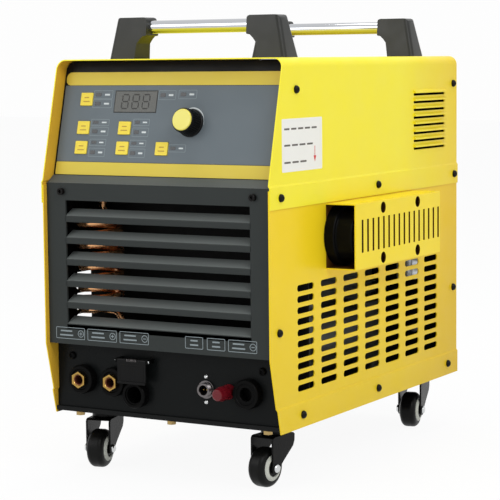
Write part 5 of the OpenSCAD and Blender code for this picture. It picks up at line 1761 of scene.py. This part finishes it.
@dataclass
class Studio:
    """The floor, the light and the camera. Angles are in degrees, focal length in pixels."""

    case: CaseFrame
    azimuth: float = 30.1446
    elevation: float = 5.8235
    roll: float = -0.5848
    focal: float = 1862.38
    frame_width: float = 500.0
    sensor: float = 36.0
    stand: Triple = (1207.158, -1847.822, 508.215)
    aim_height: float = 0.28
    floor_reach: float = 12.0
    floor_drop: float = 0.0005
    floor_glow: float = 0.93
    backdrop: float = 0.985
    daylight: float = 0.60
    lamps: tuple[tuple[str, Triple, float, float], ...] = (
        ("key_lamp", (2.0, -1.2, 2.2), 1.6, 26.0), ("top_lamp", (-0.2, 0.2, 2.9), 2.0, 34.0),
        ("front_lamp", (-1.3, -2.4, 1.5), 1.4, 15.0))

    def build(self) -> None:
        """Builds the studio, with plain colours."""
        bpy.context.scene.view_settings.view_transform = "Standard"
        self._floor()
        self._world()
        self._hang_lamps()
        self._camera()

    def _floor(self) -> None:
        """Builds a white floor that keeps a soft shadow."""
        mesh = bpy.data.meshes.new("studio_floor")
        corners = ((-1, -1), (1, -1), (1, 1), (-1, 1))
        mesh.from_pydata([(x * self.floor_reach, y * self.floor_reach, -self.floor_drop)
                          for x, y in corners], [], [(0, 1, 2, 3)])
        floor = placed("studio_floor", mesh)
        made = bpy.data.materials.new("studio_white")
        made.use_nodes = True
        nodes = Nodes(made.node_tree)
        matt = nodes.feed(nodes.tree.nodes["Principled BSDF"], {
            "Base Color": (0.86, 0.86, 0.86, 1), "Roughness": 0.9})
        share = nodes.add("ShaderNodeMath", {0: self._plain_rays(nodes), 1: self.floor_glow},
                          operation="MULTIPLY")
        glow = nodes.add("ShaderNodeEmission", {"Strength": 1.0})
        nodes.feed(nodes.tree.nodes["Material Output"], {
            "Surface": nodes.add("ShaderNodeMixShader", {0: share, 1: matt, 2: glow})})
        mesh.materials.append(made)
        floor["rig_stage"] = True

    @staticmethod
    def _plain_rays(nodes: Nodes) -> bpy.types.Node:
        """Adds a value that is one for the camera's, mirrored and transmitted rays.

        Args:
            nodes: the nodes of a material or a world.

        Returns:
            The node with the value.
        """
        ray = nodes.add("ShaderNodeLightPath").outputs
        either = nodes.add("ShaderNodeMath", {0: ray["Is Camera Ray"], 1: ray["Is Glossy Ray"]},
                           operation="MAXIMUM")
        return nodes.add("ShaderNodeMath", {0: either, 1: ray["Is Transmission Ray"]},
                         operation="MAXIMUM")

    def _world(self) -> None:
        """Sets an even pale world that the camera sees as white."""
        world = bpy.data.worlds.new("studio")
        bpy.context.scene.world = world
        world.use_nodes = True
        nodes = Nodes(world.node_tree)
        soft = nodes.feed(nodes.tree.nodes["Background"], {
            "Color": (0.97, 0.98, 1.0, 1), "Strength": self.daylight})
        white = nodes.add("ShaderNodeBackground", {
            "Color": (self.backdrop, self.backdrop, self.backdrop, 1), "Strength": 1.0})
        nodes.feed(nodes.tree.nodes["World Output"], {
            "Surface": nodes.add("ShaderNodeMixShader", {
                0: self._plain_rays(nodes), 1: soft, 2: white})})

    def _hang_lamps(self) -> None:
        """Hangs three soft lamps round the object."""
        for name, where, size, power in self.lamps:
            data = bpy.data.lights.new(name, "AREA")
            data.shape, data.size, data.energy = "DISK", size, power
            aim = (Vector((0, 0, self.aim_height)) - Vector(where)).to_track_quat("-Z", "Y")
            turn = aim.to_matrix().to_4x4()
            placed(name, data).matrix_world = Matrix.Translation(Vector(where)) @ turn

    def _camera(self) -> None:
        """Sets the camera at its measured place, with the lens of the measured view."""
        around, up, roll = (math.radians(a) for a in (self.azimuth, self.elevation, self.roll))
        back = Vector((math.sin(around) * math.cos(up), -math.cos(around) * math.cos(up),
                       math.sin(up)))
        right = (-back).cross(UPWARD).normalized()
        across = right * math.cos(roll) + right.cross(-back) * math.sin(roll)
        data = bpy.data.cameras.new("camera")
        data.sensor_width = self.sensor
        data.lens = self.sensor * self.focal / self.frame_width
        data.clip_end = 60.0
        camera = placed("camera", data)
        where = self.case.spot(0, 0, 0) + Vector(self.stand) * MM
        camera.matrix_world = Matrix.Translation(where) @ axes(across, back)
        bpy.context.scene.camera = camera


# ---- All together -------------------------------------------------------------------


def corners() -> list[list[float]]:
    """Returns the lowest and highest corner of what shows."""
    return [list(corner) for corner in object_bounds()]


def main() -> None:
    """Builds the dressed unit in its studio."""
    logging.basicConfig(level=logging.INFO, format="%(message)s")
    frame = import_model()
    bench = Bench(frame, CaseFrame.read())
    Studio(bench.case).build()
    parts: tuple[Callable[[Bench], Assembly], ...] = (
        SheetCase, LouvrePanel, ControlFace, SelectorKnob, ConnectorBay, IntakeFilter,
        CarryHandles, Casters, Fasteners, RearFittings, InnerParts)
    for part in parts:
        part(bench).build()


if __name__ == "__main__":
    main()
